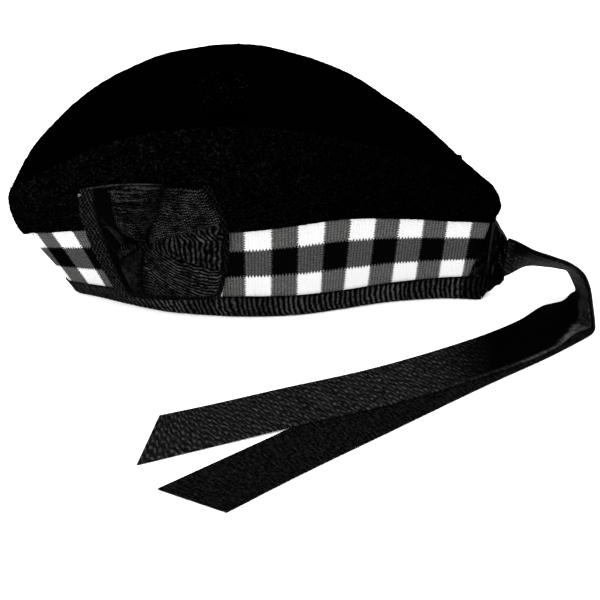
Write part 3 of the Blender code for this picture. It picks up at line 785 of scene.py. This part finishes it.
# the stations of each tail: x, y and z as shares of reach, spread and loopHeight, the way its width
# points and leans in degrees, and the share of its width
tailNames = ("x", "y", "z", "turn", "lean", "width")
lowerTail = (
    (0.220, 0.022, 0.97, 89, -77, 0.86),
    (0.415, 0.020, 0.97, 88, -46, 1.00),
    (0.609, 0.005, 0.94, 87, -38, 1.00),
    (0.757, -0.017, 0.92, 88, -34, 1.00),
    (0.842, -0.040, 0.87, 94, -26, 1.00),
    (0.897, -0.055, 0.58, 96, -24, 1.00),
    (0.922, -0.072, 0.29, 97, -17, 1.00),
    (0.916, -0.102, 0.11, 102, -6, 1.00),
    (0.864, -0.130, 0.04, 112, -1, 1.00),
    (0.721, -0.173, 0.03, 122, 0, 1.00),
    (0.323, -0.282, 0.03, 128, 0, 1.00),
    (-0.239, -0.421, 0.03, 128, 0, 1.00),
    (-1.005, -0.621, 0.03, 128, 0, 1.00),
    (-1.708, -0.805, 0.03, 128, 0, 1.00),
    (-2.385, -0.986, 0.03, 128, 0, 1.05),
)
upperTail = (
    (0.220, 0.010, 0.91, 89, -77, 0.86),
    (0.417, 0.012, 0.91, 88, -46, 1.00),
    (0.613, -0.001, 0.87, 87, -38, 1.00),
    (0.740, -0.020, 0.85, 88, -34, 1.00),
    (0.818, -0.042, 0.79, 94, -26, 1.00),
    (0.874, -0.056, 0.54, 96, -24, 0.86),
    (0.897, -0.072, 0.32, 95, -17, 0.86),
    (0.882, -0.095, 0.17, 100, -6, 1.02),
    (0.832, -0.126, 0.10, 112, -1, 0.94),
    (0.667, -0.154, 0.08, 120, 0, 0.97),
    (0.419, -0.240, 0.08, 120, 0, 1.00),
    (-0.052, -0.347, 0.08, 114, 0, 1.00),
    (-0.880, -0.494, 0.08, 112, 0, 1.00),
    (-1.708, -0.605, 0.07, 112, 0, 1.00),
    (-2.245, -0.676, 0.04, 112, 0, 1.02),
    (-2.795, -0.750, 0.03, 112, 0, 1.06),
)


def tailStations(rows, at=None):
    table = {name: np.array([row[i] for row in rows], float) for i, name in enumerate(tailNames)}
    slit = levelCurve("rim", np.array([float(cap["bandDice"])]))[0][0]
    middle = np.stack([
        slit + table["x"] * tails["reach"], table["y"] * tails["spread"],
        table["z"] * tails["loopHeight"]], axis=-1)
    runs = np.linalg.norm(np.diff(middle, axis=0), axis=1)
    knots = np.concatenate(([0.0], np.cumsum(np.sqrt(runs))))
    if at is None:
        at = np.linspace(0.0, knots[-1], 800)
    centre = np.stack([smoothThrough(knots, middle[:, axis], at) for axis in range(3)], axis=-1)
    turn = np.radians(smoothThrough(knots, table["turn"], at))
    lean = np.radians(smoothThrough(knots, table["lean"], at))
    width = smoothThrough(knots, table["width"], at) * tails["width"] / 2
    across = np.stack([np.cos(turn) * np.cos(lean), np.sin(turn) * np.cos(lean), np.sin(lean)], axis=-1)
    return at, centre, across * width[:, None], runAlong(centre)


def lowerPaintedLight(share, run):
    # painted light: the outer ribbon is painted dim, and brighter where the loop comes down
    run = run[:, None] * 1000
    comesDown = smoothStep(32, 40, run) * smoothStep(72, 62, run)
    return 0.22 + 0.4 * comesDown + 0 * share[None, :], 0.0


def upperPaintedLight(share, run):
    # painted light: lit where it fans out and along the ground; where it turns over, only a strip of its near
    # edge is, with a painted sheen on the lit part of the turn
    run = run[:, None] * 1000
    share = share[None, :]
    lit = smoothStep(0.06, -0.06, share - np.interp(run, litRuns, litShares))
    topEdge = smoothStep(-0.15, -0.45, share) * smoothStep(1, 4, run) * smoothStep(32, 22, run)
    away = smoothStep(128, 188, run + 10 * share)
    fan = smoothStep(60, 40, run)
    uneven = noiseOver(run + 0 * share, 16 * share + 0 * run, 3.0, 5.5)
    lustre = (0.25 + 0.45 * fan) * lit * (1 - 0.95 * topEdge) + away
    wedge = smoothStep(40, 60, run) * (0.32 + 0.9 * smoothStep(66, 86, run) * smoothStep(150, 90, run))
    sheen = lit * (wedge + 0.12 * fan * (1 - topEdge)) * (1 - away) * (1 + 0.9 * uneven)
    return 0.72 * lustre * (1 + 0.5 * uneven), sheen + 0.13 * away


def makeTail(name, rows, endWay, node, lustreOf, chop, plain):
    # endWay is the way its end slants; a plain tail shows ribs but no lines of grain
    at, centre, half, run = tailStations(rows)
    steps = int(run[-1] / silkLook["ribPitch"] * tails["samplesPerRib"])
    arc = np.linspace(0, run[-1], steps + 1)
    at, centre, half, _ = tailStations(rows, np.interp(arc, run, at))
    way = unit(centre[-1] - centre[-2])
    slant = endWay * way * tails["width"] / 2 / math.tan(math.radians(tails["slant"]))
    loose = tails["looseShare"]
    ease = np.clip((np.linspace(0, 1, len(centre)) - loose) / (1 - loose), 0, 1)
    share = np.linspace(-1, 1, tails["across"] + 1)
    points = centre[:, None] + half[:, None] * share[None, :, None]
    points = points + slant * share[None, :, None] * ease[:, None, None]
    normal = unit(np.cross(np.gradient(points, axis=0), np.gradient(points, axis=1)))
    wave = tails["relief"] * np.cos(2 * math.pi * arc / silkLook["ribPitch"])
    points = points + normal * wave[:, None, None]
    across = share[None, :] * tails["width"] / 2
    uv = np.stack(np.broadcast_arrays(arc[:, None] * chop, across), axis=-1)
    turn = math.radians(tails["grainTurn"])
    grain = arc[:, None] * math.cos(turn) + across * math.sin(turn)
    if plain:
        grain = silkLook["grainPitch"] / 4
    lustre, sheen = lustreOf(share, arc)
    made = newPiece(
        name, points, gridFaces(*points.shape[:2]), silk, uv, grain=grain, lustre=lustre, sheen=sheen)
    thicken(made, tails["thickness"], 0.0)
    ridesOn(made, "ribbed_silk", node)
    print(name, "length", round(float(run[-1]), 4))


makeTail("tailLower", lowerTail, 0.85, "ribbon_tail_lower", lowerPaintedLight, 1.0, True)
makeTail("tailUpper", upperTail, -1.0, "ribbon_tail_upper", upperPaintedLight, tails["chop"], False)

# Slit tapes and the gather
slit = {
    "lowWidth": 0.0100, "highWidth": 0.0012, "highAt": 0.0510, "rows": 6,
    "samplesPerRib": 5, "relief": 0.00010, "lustre": 0.70,
}
gather = {
    "startHalfWidth": 0.0060, "endHalfWidth": 0.0032, "low": 0.0004, "sag": 0.68, "clear": (0.00076, 0.00176),
    "rings": 90, "rows": 40, "pleats": 2.5, "pleatDepth": 0.0013, "ribRelief": 0.00010, "rumple": 0.0006,
    "lustre": 0.7,
}


def tapeRing(height):
    # outline of the tape folded round the band's back end, at one height on the left side
    outside = cap["gap"] + cap["tape"]
    inside = -(cap["knit"] + outside)
    widths = slit["lowWidth"], slit["highWidth"]
    width = np.interp(height, (binding["height"], slit["highAt"]), widths)
    fine = np.linspace(cap["bandDice"] - 1.0, cap["bandDice"], 60)
    line = bandPoint(fine, height, outside)
    left = np.linalg.norm(line - line[-1], axis=1)
    first = np.interp(-width, -left, fine)
    dice = np.linspace(first, cap["bandDice"], slit["rows"])
    # the tape's outer face, its inner face, and its two faces against the knit
    outer, inner, innerBack, outerBack = (
        bandPoint(dice, height, out) for out in (outside, inside, inside + cap["tape"], cap["gap"]))
    out = unit(outer[-1] - inner[-1])
    along = unit(np.array([-out[1], out[0], 0.0]))
    turn = np.linspace(0, math.pi, 5)[1:-1, None]
    middle, half = (outer[-1] + inner[-1]) / 2, (outer[-1] - inner[-1]) / 2
    bend = middle + half * np.cos(turn) + along * outside * np.sin(turn) ** 0.5
    backBend = [end + along * cap["gap"] for end in (innerBack[-1], outerBack[-1])]
    return np.concatenate([outer, bend, inner[::-1], innerBack, backBend, outerBack[::-1]])


def hemAt(dice):
    return float(hemHeight(np.array([float(dice)]))[0])


def makeSlitTape(name, sign, node):
    low = float(bindingHeight(cap["bandDice"])) + cap["gap"]
    high = hemAt(cap["bandDice"]) - cap["gap"]
    steps = int((high - low) / silkLook["ribPitch"] * slit["samplesPerRib"])
    heights = np.linspace(low, high, steps + 1)
    rings = np.array([tapeRing(height) for height in heights])
    skin = slit["rows"] * 2 + 3
    middle = rings[:, :skin].mean(axis=1, keepdims=True)
    wave = slit["relief"] * np.cos(2 * math.pi * heights / silkLook["ribPitch"])[:, None, None]
    level = (rings[:, :skin] - middle) * np.array([1.0, 1.0, 0.0])
    rings[:, :skin] += unit(level) * wave
    if sign > 0:
        rings = mirrorY(rings)
    count = rings.shape[1]
    uv = np.stack(np.broadcast_arrays(heights[:, None], runAlong(rings[0])), axis=-1)
    # painted highlights in streaks on the tape's outer face, fading upwards; the rest of the tape is painted
    # dark
    streaks = noiseAt(rings.reshape(-1, 3), 260.0)
    outer = np.tile(np.arange(count) < slit["rows"] - 2, len(rings))
    fade = np.repeat(smoothStep(0.040, 0.022, heights), count)
    lustre = slit["lustre"] * np.clip(0.5 + 1.2 * streaks, 0, 2) * np.where(outer, fade, 0.08)
    grain = uv[..., 1] * 1.5 + uv[..., 0] * 1.5
    makeTube(name, rings, uv, silk, "ribbed_silk", node, grain=grain, lustre=lustre)


makeSlitTape("slitTapeLeft", -1, "slit_tape_left")
makeSlitTape("slitTapeRight", 1, "slit_tape_right")


def makeGather(values):
    # ribbon ends pleated together behind the slit: a wall of flat rings, from the tapes to the tails
    hem = hemAt(sectionRows[-1][0])
    _, centres, halves, _ = tailStations(upperTail)
    centre, half = centres[0], halves[0]
    end = centre[0] - cap["gap"]
    shares = np.linspace(0, 1, values["rings"])
    rings, uv = [], []
    startTop = hem - 2 * cap["gap"]
    lowClear, highClear = values["clear"]
    for share in shares:
        bottom = values["low"] + (centre[2] + half[2] - values["low"]) * share ** values["sag"]
        top = startTop + (centre[2] - half[2] - startTop) * share
        pleat = 0.5 - 0.5 * math.cos(2 * math.pi * values["pleats"] * share)
        wide = values["startHalfWidth"] * (1 - share) + values["endHalfWidth"] * share
        wide = wide - values["pleatDepth"] * pleat
        near, far = [], []
        for height in np.linspace(bottom, top, values["rows"]):
            # it starts a little behind the tapes' back edge, and further behind above the binding
            edge = tapeRing(height)[slit["rows"] - 1][0]
            seat = edge + lowClear + (highClear - lowClear) * float(smoothStep(0.010, 0.016, height))
            x = seat + (end - seat) * share
            rib = values["ribRelief"] * math.cos(2 * math.pi * x / silkLook["ribPitch"])
            rumple = noise.noise(Vector((share * 5.0, height * 90.0, 0.3)))
            crumple = values["rumple"] * rumple * math.sin(math.pi * share)
            near.append((x, centre[1] * share - wide + rib + crumple, height))
            far.append((x, centre[1] * share + wide - rib + crumple, height))
            uv.append((x, height))
        rings.append(near + far[::-1])
    rings = np.array(rings)
    uv = np.array(uv).reshape(len(rings), -1, 2)
    uv = np.concatenate([uv, uv[:, ::-1]], axis=1)
    # painted highlights: the pleats catch the light in a few streaks along their length, and are painted dark
    # in shade where they start at the tapes
    streaks = np.array([noise.noise(Vector((x * 700.0, z * 130.0, 4.2))) for x, z in uv.reshape(-1, 2)])
    nearTape = np.repeat(smoothStep(0.02, 0.30, shares), rings.shape[1])
    lustre = values["lustre"] * np.clip(3.2 * streaks - 0.25, 0.02, 2) * (0.08 + 0.92 * nearTape)
    grain = uv[..., 0] * 1.2 + uv[..., 1] * 1.2
    makeTube("tailGather", rings, uv, silk, "ribbed_silk", "tail_gather", grain=grain, lustre=lustre)


makeGather(gather)

# Toorie
toorie = {
    "diameter": 0.0295, "height": 0.0200, "share": 0.450, "core": 0.80,
    "ends": 9000, "endWidth": 0.00055, "endLength": 1.6, "stray": 0.05, "lean": 0.22,
    "shag": 0.10, "clump": 0.12, "clumpScale": 4.0, "lustre": 14.0, "litShare": 0.09,
}


def makeToorie(values):
    # a ball of cut yarn: short ends standing out of a core, in uneven clumps
    foldX, diceRows = tableColumn("foldX"), tableColumn("dice")
    dice = np.array([np.interp(values["share"], foldX, diceRows)])
    seat = levelCurve("fold", dice)[0][0], cap["height"] * alongCap("crownZ", dice, 1)[0]
    centre = np.array([seat[0], 0.0, seat[1] + values["height"] / 2 + cap["gap"]])
    size = np.array([values["diameter"], values["diameter"], values["height"]]) / 2
    count = values["ends"]
    k = np.arange(count) + 0.5
    up = 1 - 2 * k / count
    around = math.pi * (1 + 5 ** 0.5) * k
    level = np.sqrt(1 - up ** 2)
    way = np.stack([np.cos(around) * level, np.sin(around) * level, up], axis=-1)
    way = unit(way + values["stray"] * random.normal(size=way.shape))
    clumps = noiseAt(way, values["clumpScale"])
    reach = 1 + values["clump"] * clumps[:, None] + values["shag"] * (random.random((count, 1)) - 0.7)
    lean = unit(way + values["lean"] * random.normal(size=way.shape))
    side = unit(np.cross(lean, random.normal(size=way.shape)))
    third = np.cross(lean, side)
    length = size.mean() * (1 - values["core"]) * values["endLength"]
    tip = way * size * reach
    points = []
    for share, wide in ((0.0, 1.0), (0.6, 1.15), (1.0, 0.75)):
        middle = tip - lean * length * (1 - share)
        for turn in (0.0, 2 * math.pi / 3, 4 * math.pi / 3):
            corner = side * math.cos(turn) + third * math.sin(turn)
            points.append(middle + corner * values["endWidth"] / 2 * wide)
    points = np.stack(points, axis=1) + centre
    # painted glints: few of the cut ends are painted lit, in clusters round the sides and none at the very
    # top
    chance = random.random(count) < values["litShare"] * (0.3 + 3.0 * np.clip(clumps, 0, 1))
    lit = np.where(chance, random.uniform(0.4, 1.0, count), 0.02) * smoothStep(0.95, 0.75, up)
    start = np.arange(count)[:, None, None] * 9
    walls = np.array([[r * 3 + c, r * 3 + (c + 1) % 3, r * 3 + 3 + (c + 1) % 3, r * 3 + 3 + c]
                      for r in range(2) for c in range(3)])
    quads = (start + walls[None]).reshape(-1, 4)
    tips = start[:, :, 0] + np.array([[6, 7, 8]])
    bottoms = start[:, :, 0] + np.array([[2, 1, 0]])
    made = newPiece(
        "toorieTuft", points.reshape(-1, 3), [*quads.tolist(), *tips.tolist(), *bottoms.tolist()],
        tuftWool, lustre=np.repeat(lit * values["lustre"], 9))
    bpy.ops.object.select_all(action="DESELECT")
    bpy.ops.mesh.primitive_uv_sphere_add(segments=48, ring_count=24, radius=1.0)
    core = bpy.context.object
    core.scale = size * values["core"]
    core.location = centre
    bpy.ops.object.transform_apply(location=True, rotation=True, scale=True)
    core.data.materials.append(tuftWool)
    made.select_set(True)
    bpy.context.view_layer.objects.active = made
    bpy.ops.object.join()
    ridesOn(made, "toorie_wool", "toorie")


makeToorie(toorie)

# Cockade: a square of ribbon with a bow of folded lobes drawn in at its pinch
cockade = {
    "corners": {
        "lowFront": (3.8, 0.15), "lowBack": (8.9, 0.25), "highBack": (9.15, 1.50), "highFront": (4.45, 1.62)},
    "edgeBows": (0.40, 0.45), "pinch": (0.44, 0.50),
    "margins": (0.20, 0.965, 0.045, 0.985), "highFront": 0.265,
    "ribbon": 0.0008, "lobeRibbon": 0.0005, "lobeLap": 0.03, "undulation": 0.0006, "edgeLift": 0.0004,
    "lobeSteps": (60, 80), "baseSteps": (100, 110),
    "grain": 0.0024, "frontStrip": 0.0105, "backStrip": 0.0060,
}
# heights and spans of the narrow folds near the top edge, from the pinch, in millimetres; they raise the
# lobes a little and are painted as highlight lines
topFolds = (
    (44.3, -29, 14, 1.3), (42.4, -3, 12, 0.9), (40.0, -14, 4, 0.9), (37.0, -12, -6, 0.4),
    (34.5, -9, 3, 0.7), (31.5, -12, 0, -2.0), (27.6, -3, 4, 0.5),
)
# the small folds, painted only as highlight lines in the painted shade of the hollow at the front: from and
# to, in millimetres from the pinch
hollowFoldHighlights = (
    (-22, 11, -17.5, 5, 0.35), (-17.5, 5, -15, -2, 0.30), (-20, 10.5, -16, 6.5, 0.30),
    (-16, 6.5, -13.5, 0, 0.25), (-24, 18, -20, 12, 0.12), (-27, 6, -19, -12, 0.06),
)
# each lobe: its angles at the pinch, how far its creases stand out, its puff, its reach and its grain, and
# how much painted light it gets
lobeNames = (
    "start", "end", "startOut", "endOut", "puff", "startReach", "endReach", "grain", "pitch", "lustre")
lobes = {
    "bowUpperBack": (24, 64, 0.0026, 0.0004, 0.0026, 1.00, 1.00, "level", 0.0018, 1.10),
    "bowBack": (-23, 24, 0.0024, 0.0026, 0.0022, 1.00, 1.00, "bars", 0.0027, 0.78),
    "bowLowerBack": (-70, -23, 0.0020, 0.0024, 0.0020, 1.00, 1.00, "sweep", 0.0026, 0.74),
    "bowLower": (-106, -70, 0.0002, 0.0020, 0.0018, 0.98, 1.00, "sweep", 0.0026, 0.64),
    "bowPetal": (-143, -108, 0.0004, 0.0002, 0.0036, 1.06, 0.97, "plain", 0.0024, 0.17),
    "bowFrontFold": (-178, -145, 0.0006, 0.0002, 0.0030, 0.80, 1.00, "arc", 0.0018, 0.40),
    "bowUpperFront": (102, 152, 0.0010, 0.0002, 0.0028, 1.00, 1.00, "basket", 0.0023, 0.80),
    "bowTop": (64, 102, 0.0002, 0.0010, 0.0020, 1.00, 1.00, "hatch", 0.0017, 0.65),
}


def sidePoint(dice, level, out):
    # a point out of the left side, by dice and level: 0 rim, 1 hem, 2 fold
    dice, level, out = np.broadcast_arrays(*(np.asarray(v, float) for v in (dice, level, out)))
    lift = cap["wool"] + cap["gap"] + out
    lap = cap["hemLap"] / (cap["height"] - cap["hemHeight"])
    band = bandPoint(dice, hemHeight(dice) * np.minimum(level, 1), lift)
    start = woolSide(dice, 0.0, out)
    share = np.clip(level - 1, 0, 1)
    toLap = (share / lap)[..., None]
    above = np.where(toLap < 1, band + (start - band) * toLap,
                     woolSide(dice, np.clip((share - lap) / (1 - lap), 0, 1), out))
    return np.where((level <= 1)[..., None], band, above)


def cockadePoint(a, b, out):
    corner = {key: np.array(value) for key, value in cockade["corners"].items()}
    a, b = np.asarray(a, float)[..., None], np.asarray(b, float)[..., None]
    low = corner["lowFront"] + (corner["lowBack"] - corner["lowFront"]) * a
    high = corner["highFront"] + (corner["highBack"] - corner["highFront"]) * a
    at = low + (high - low) * b
    front, back = cockade["edgeBows"]
    bow = (back * a - front * (1 - a)) * 4 * b * (1 - b)
    return sidePoint(at[..., 0] + bow[..., 0], at[..., 1], out)


def cockadeSize():
    steps, middle = np.linspace(0, 1, 80), np.full(80, 0.5)
    runs = (cockadePoint(steps, middle, 0.0), cockadePoint(middle, steps, 0.0))
    return [float(np.linalg.norm(np.diff(run, axis=0), axis=1).sum()) for run in runs]


cockadeWide, cockadeTall = cockadeSize()
print("cockade", round(cockadeWide, 4), "by", round(cockadeTall, 4))


def flatPoint(x, y, out):
    # a point so far back from the pinch and so far above it, over the flat ribbon
    pa, pb = cockade["pinch"]
    return cockadePoint(pa + x / cockadeWide, pb + y / cockadeTall, out)


def foldsAt(x, y):
    # how strongly the narrow folds near the top edge stand out
    total = 0.0 * x
    for height, start, end, strength in topFolds:
        wavy = 0.0003 * np.sin(x * 300.0 + height)
        line = np.exp(-((y - height * 0.001 + wavy) / 0.0004) ** 2)
        ends = smoothStep(start * 0.001 - 0.004, start * 0.001, x)
        ends = ends * smoothStep(end * 0.001 + 0.006, end * 0.001, x)
        total = total + strength * line * ends
    return total


def makeCockadeBase(values):
    a, b = np.meshgrid(*(np.linspace(0, 1, steps) for steps in values["baseSteps"]))
    pa, pb = values["pinch"]
    x, y = (a - pa) * cockadeWide, (b - pb) * cockadeTall
    edge = np.minimum(np.minimum(a, 1 - a), np.minimum(b, 1 - b))
    lift = values["edgeLift"] * (noiseOver(x, y, 0.028, 1.7) + 0.6) * np.clip(1 - edge * 6, 0, 1)
    points = cockadePoint(a, b, cap["gap"] + values["ribbon"] + lift)
    # painted light: its front and back strips beside the bow and its lower edge are painted lit, the back
    # strip dimmer as in shade; under the bow it is painted dark as shade
    front = smoothStep(values["frontStrip"], values["frontStrip"] * 0.8, a * cockadeWide)
    back = smoothStep(values["backStrip"], values["backStrip"] * 0.8, (1 - a) * cockadeWide)
    low = smoothStep(0.06, 0.04, b)
    lustre = 0.65 * front + 0.22 * back + 0.25 * low + 0.01
    # painted highlights along the narrow folds near the top edge and the small folds in the hollow
    sheen = 0.8 * np.maximum(foldsAt(x, y), 0)
    for startX, startY, endX, endY, strength in hollowFoldHighlights:
        start, run = np.array([startX, startY]), np.array([endX - startX, endY - startY])
        flat = np.stack([x, y], axis=-1) * 1000 - start
        share = np.clip((flat * run).sum(axis=-1) / (run * run).sum(), 0, 1)
        away = np.linalg.norm(flat - run * share[..., None], axis=-1)
        sheen = sheen + strength * np.exp(-(away / 0.5) ** 2)
    grain = (x + 0.32 * y) * silkLook["grainPitch"] / values["grain"]
    uv = np.stack([y, x], axis=-1)
    made = newPiece(
        "cockadeBase", points, gridFaces(*a.shape), silk, uv, grain=grain, lustre=lustre, sheen=sheen)
    thicken(made, values["ribbon"] * 0.8, 0.0)
    ridesOn(made, "ribbed_silk", "cockade_base")
    return made


cockadeBase = makeCockadeBase(cockade)


def reachAt(angle):
    # from the pinch to the bow's rounded outline, over the flat ribbon
    front, back, low, high = cockade["margins"]
    pa, pb = cockade["pinch"]
    c, s = np.cos(angle), np.sin(angle)
    front = front + (cockade["highFront"] - front) * smoothStep(-0.3, 0.3, s)
    across = np.where(c > 0, back - pa, pa - front) * cockadeWide / np.maximum(np.abs(c), 1e-6)
    up = np.where(s > 0, high - pb, pb - low) * cockadeTall / np.maximum(np.abs(s), 1e-6)
    return (across ** -20.0 + up ** -20.0) ** (-1 / 20.0)


def grainOver(kind, x, y):
    # the way each lobe's grain runs over the flat ribbon, and the way its ribs do
    sweep = y + 0.022 * (1 - np.exp(-np.maximum(x, 0) / 0.018)) + 0.10 * x
    swayed = x + 0.0012 * np.sin(y * 420.0 + x * 90.0) * smoothStep(0.002, 0.010, y)
    noRibs = 0 * x + silkLook["ribPitch"] / 4
    return {
        "level": (y, x),
        "bars": (swayed + 0.4 * np.maximum(y - 0.006, 0), noRibs),
        "sweep": (sweep, noRibs),
        "plain": (0 * x + silkLook["grainPitch"] / 4, noRibs),
        "arc": (np.hypot(x, y), noRibs),
        "basket": (y + 0.28 * x, 0.9 * x - 0.25 * y),
        "hatch": (y - 0.22 * x, x),
    }[kind]


def makeLobe(name, row, order):
    lobe = dict(zip(lobeNames, row))
    across, along = cockade["lobeSteps"]
    s, r = np.meshgrid(np.linspace(0, 1, across), np.linspace(0.04, 1, along), indexing="ij")
    lap = cockade["lobeLap"]
    span = s * (1 + 2 * lap) - lap
    angle = np.radians(lobe["start"] + (lobe["end"] - lobe["start"]) * span)
    ease = smoothStep(0, 1, s)
    share = lobe["startReach"] + (lobe["endReach"] - lobe["startReach"]) * ease
    x, y = (r * reachAt(angle) * share * way for way in (np.cos(angle), np.sin(angle)))
    crease = lobe["startOut"] + (lobe["endOut"] - lobe["startOut"]) * s
    crest = np.sin(math.pi * s) ** 0.8
    rise = np.clip(0.30 + 1.6 * r, 0, 1) * (1 - 0.25 * r)
    fall = np.sqrt(np.clip((1 - r) / 0.06, 0, 1))
    folds = foldsAt(x, y)
    stands = crease * rise + lobe["puff"] * crest * rise
    stands = stands + cockade["undulation"] * noiseOver(x, y, 0.014, 3.1 * order)
    out = cap["gap"] * 2 + cockade["ribbon"] * 1.6 + (stands + 0.0005 * folds) * fall
    points = flatPoint(x, y, np.maximum(out, 0.0020))
    lines, ribs = grainOver(lobe["grain"], x, y)
    lines = lines + 0.0009 * noiseOver(x, y, 0.0050, 5.2 + order)
    scaled = lines * silkLook["grainPitch"] / lobe["pitch"]
    # painted shade where the lobe lies low, at its creases and near the pinch, broken up by random tone
    shade = np.clip(stands / 0.0022, 0.12, 1) * (0.85 + 0.6 * noiseOver(x, y, 0.009, 8.3 + order))
    shade = shade * np.clip(0.85 + 1.2 * noiseOver(x, y, 0.0032, 2.3 + order), 0.1, 1.4)
    # on the narrow folds the grain lines give way to a painted sheen
    lustre = lobe["lustre"] * shade * (1 - smoothStep(0.35, 1.2, np.abs(folds)))
    sheen = np.maximum(folds, 0) * 0.8
    if lobe["grain"] == "plain":
        lustre, sheen = 0 * lustre, sheen + lustre
    made = newPiece(
        name, points, gridFaces(across, along), silk, np.stack([ribs, y], axis=-1),
        grain=scaled, lustre=lustre, sheen=sheen)
    thicken(made, cockade["lobeRibbon"], -1.0)
    return made


def makeBow():
    made = [makeLobe(name, row, order) for order, (name, row) in enumerate(lobes.items())]
    for lobe in made[1:]:
        ridesOn(lobe, "ribbed_silk")
    ridesOn(made[0], "ribbed_silk", "cockade_bow")
    return made


bow = makeBow()

pinch = {"wide": 0.0036, "tall": 0.0048, "high": 0.0040, "seat": 0.0016, "ribbon": 0.0006, "lustre": 0.25}


def makePinch(values):
    # a short turn of ribbon drawn round the middle of the bow
    s, t = np.meshgrid(np.linspace(0, 1, 48), np.linspace(0, 1, 24), indexing="ij")
    turn = math.pi * t
    waist = 1 - 0.09 * np.cos(6 * math.pi * s)
    x = -values["wide"] * np.cos(turn) * waist
    y = values["tall"] * (2 * s - 1)
    ends = np.clip(np.minimum(s, 1 - s) * 6, 0, 1) ** 0.5
    out = values["seat"] + values["high"] * np.sin(turn) ** 0.6 * ends * waist
    made = newPiece(
        "cockadePinch", flatPoint(x, y, out), gridFaces(*s.shape), silk, np.stack([y, x], axis=-1),
        grain=1.6 * np.hypot(x, y), lustre=values["lustre"])
    thicken(made, values["ribbon"], -1.0)
    ridesOn(made, "ribbed_silk", "cockade_pinch")
    return made


cockadePinch = makePinch(pinch)

# A knot of pale thread that holds the cockade's front corner
stitch = {
    "size": 0.0007, "thread": 0.45, "twist": 3.0, "bulge": 0.35, "place": (-0.0352, 0.0405, 0.0024),
    "pale": 0.16, "darkShare": 0.35, "strand": 0.00025,
}


def makeStitch(values):
    finish, tree, shader = newMaterial("paleThread", Roughness=0.9, Specular_IOR_Level=0.1)
    # a vector into a number gives the mean of its parts, so the strands slant across the thread
    strands = waveNode(tree, uvCoords(tree), values["strand"])
    dark, pale = values["pale"] * values["darkShare"], values["pale"]
    tree.links.new(mixColours(tree, strands, (dark,) * 3, (pale,) * 3), shader.inputs["Base Color"])
    s, t = np.meshgrid(np.linspace(0, 1, 40), np.linspace(0, 1, 9)[:-1], indexing="ij")
    turn, around = 2 * math.pi * s, 2 * math.pi * t
    thread = values["size"] * values["thread"]
    wide = values["size"] * (1 + values["bulge"] * np.cos(values["twist"] * turn))
    wide = wide + thread * np.cos(around)
    place = values["place"]
    x, y = place[0] + wide * np.cos(turn), place[1] + wide * np.sin(turn)
    out = place[2] + thread * np.sin(around)
    uv = np.stack([s * 2 * math.pi * values["size"] + t * 0.001, t * 0.003], axis=-1)
    made = newPiece(
        "stitch", flatPoint(x[:-1], y[:-1], out[:-1]),
        gridFaces(len(s) - 1, s.shape[1], closeRows=True, closeColumns=True), finish, uv[:-1])
    smoothShade(made)
    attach(made, "root")


makeStitch(stitch)

# Floor and light
# each lamp: its place, size and power
stageValues = {
    "floor": 0.95, "world": 2.6, "aim": (0.02, -0.03, 0.05),
    "lamps": {"keyLight": ((-0.7, -0.8, 1.3), 0.6, 3.0), "fillLight": ((1.0, 0.2, 1.2), 1.0, 1.0)},
}


def makeStage(values):
    bpy.ops.mesh.primitive_plane_add(size=8.0, location=(0, 0, -0.0002))
    floor = bpy.context.object
    floor.name = "floor"
    finish, _, shader = newMaterial("paleFloor", Roughness=0.9, Specular_IOR_Level=0.1)
    shader.inputs["Base Color"].default_value = (*[values["floor"]] * 3, 1)
    floor.data.materials.append(finish)
    world = bpy.data.worlds.new("studio")
    world.use_nodes = True
    world.node_tree.nodes["Background"].inputs[0].default_value = (1, 1, 1, 1)
    world.node_tree.nodes["Background"].inputs[1].default_value = values["world"]
    bpy.context.scene.world = world
    bpy.context.scene.view_settings.view_transform = "Standard"
    for name, (place, size, power) in values["lamps"].items():
        data = bpy.data.lights.new(name, "AREA")
        data.size = size
        data.energy = power
        lamp = bpy.data.objects.new(name, data)
        bpy.context.scene.collection.objects.link(lamp)
        lamp.location = place
        way = Vector(values["aim"]) - Vector(place)
        lamp.rotation_euler = way.to_track_quat("-Z", "Y").to_euler()


makeStage(stageValues)
print("stage set")
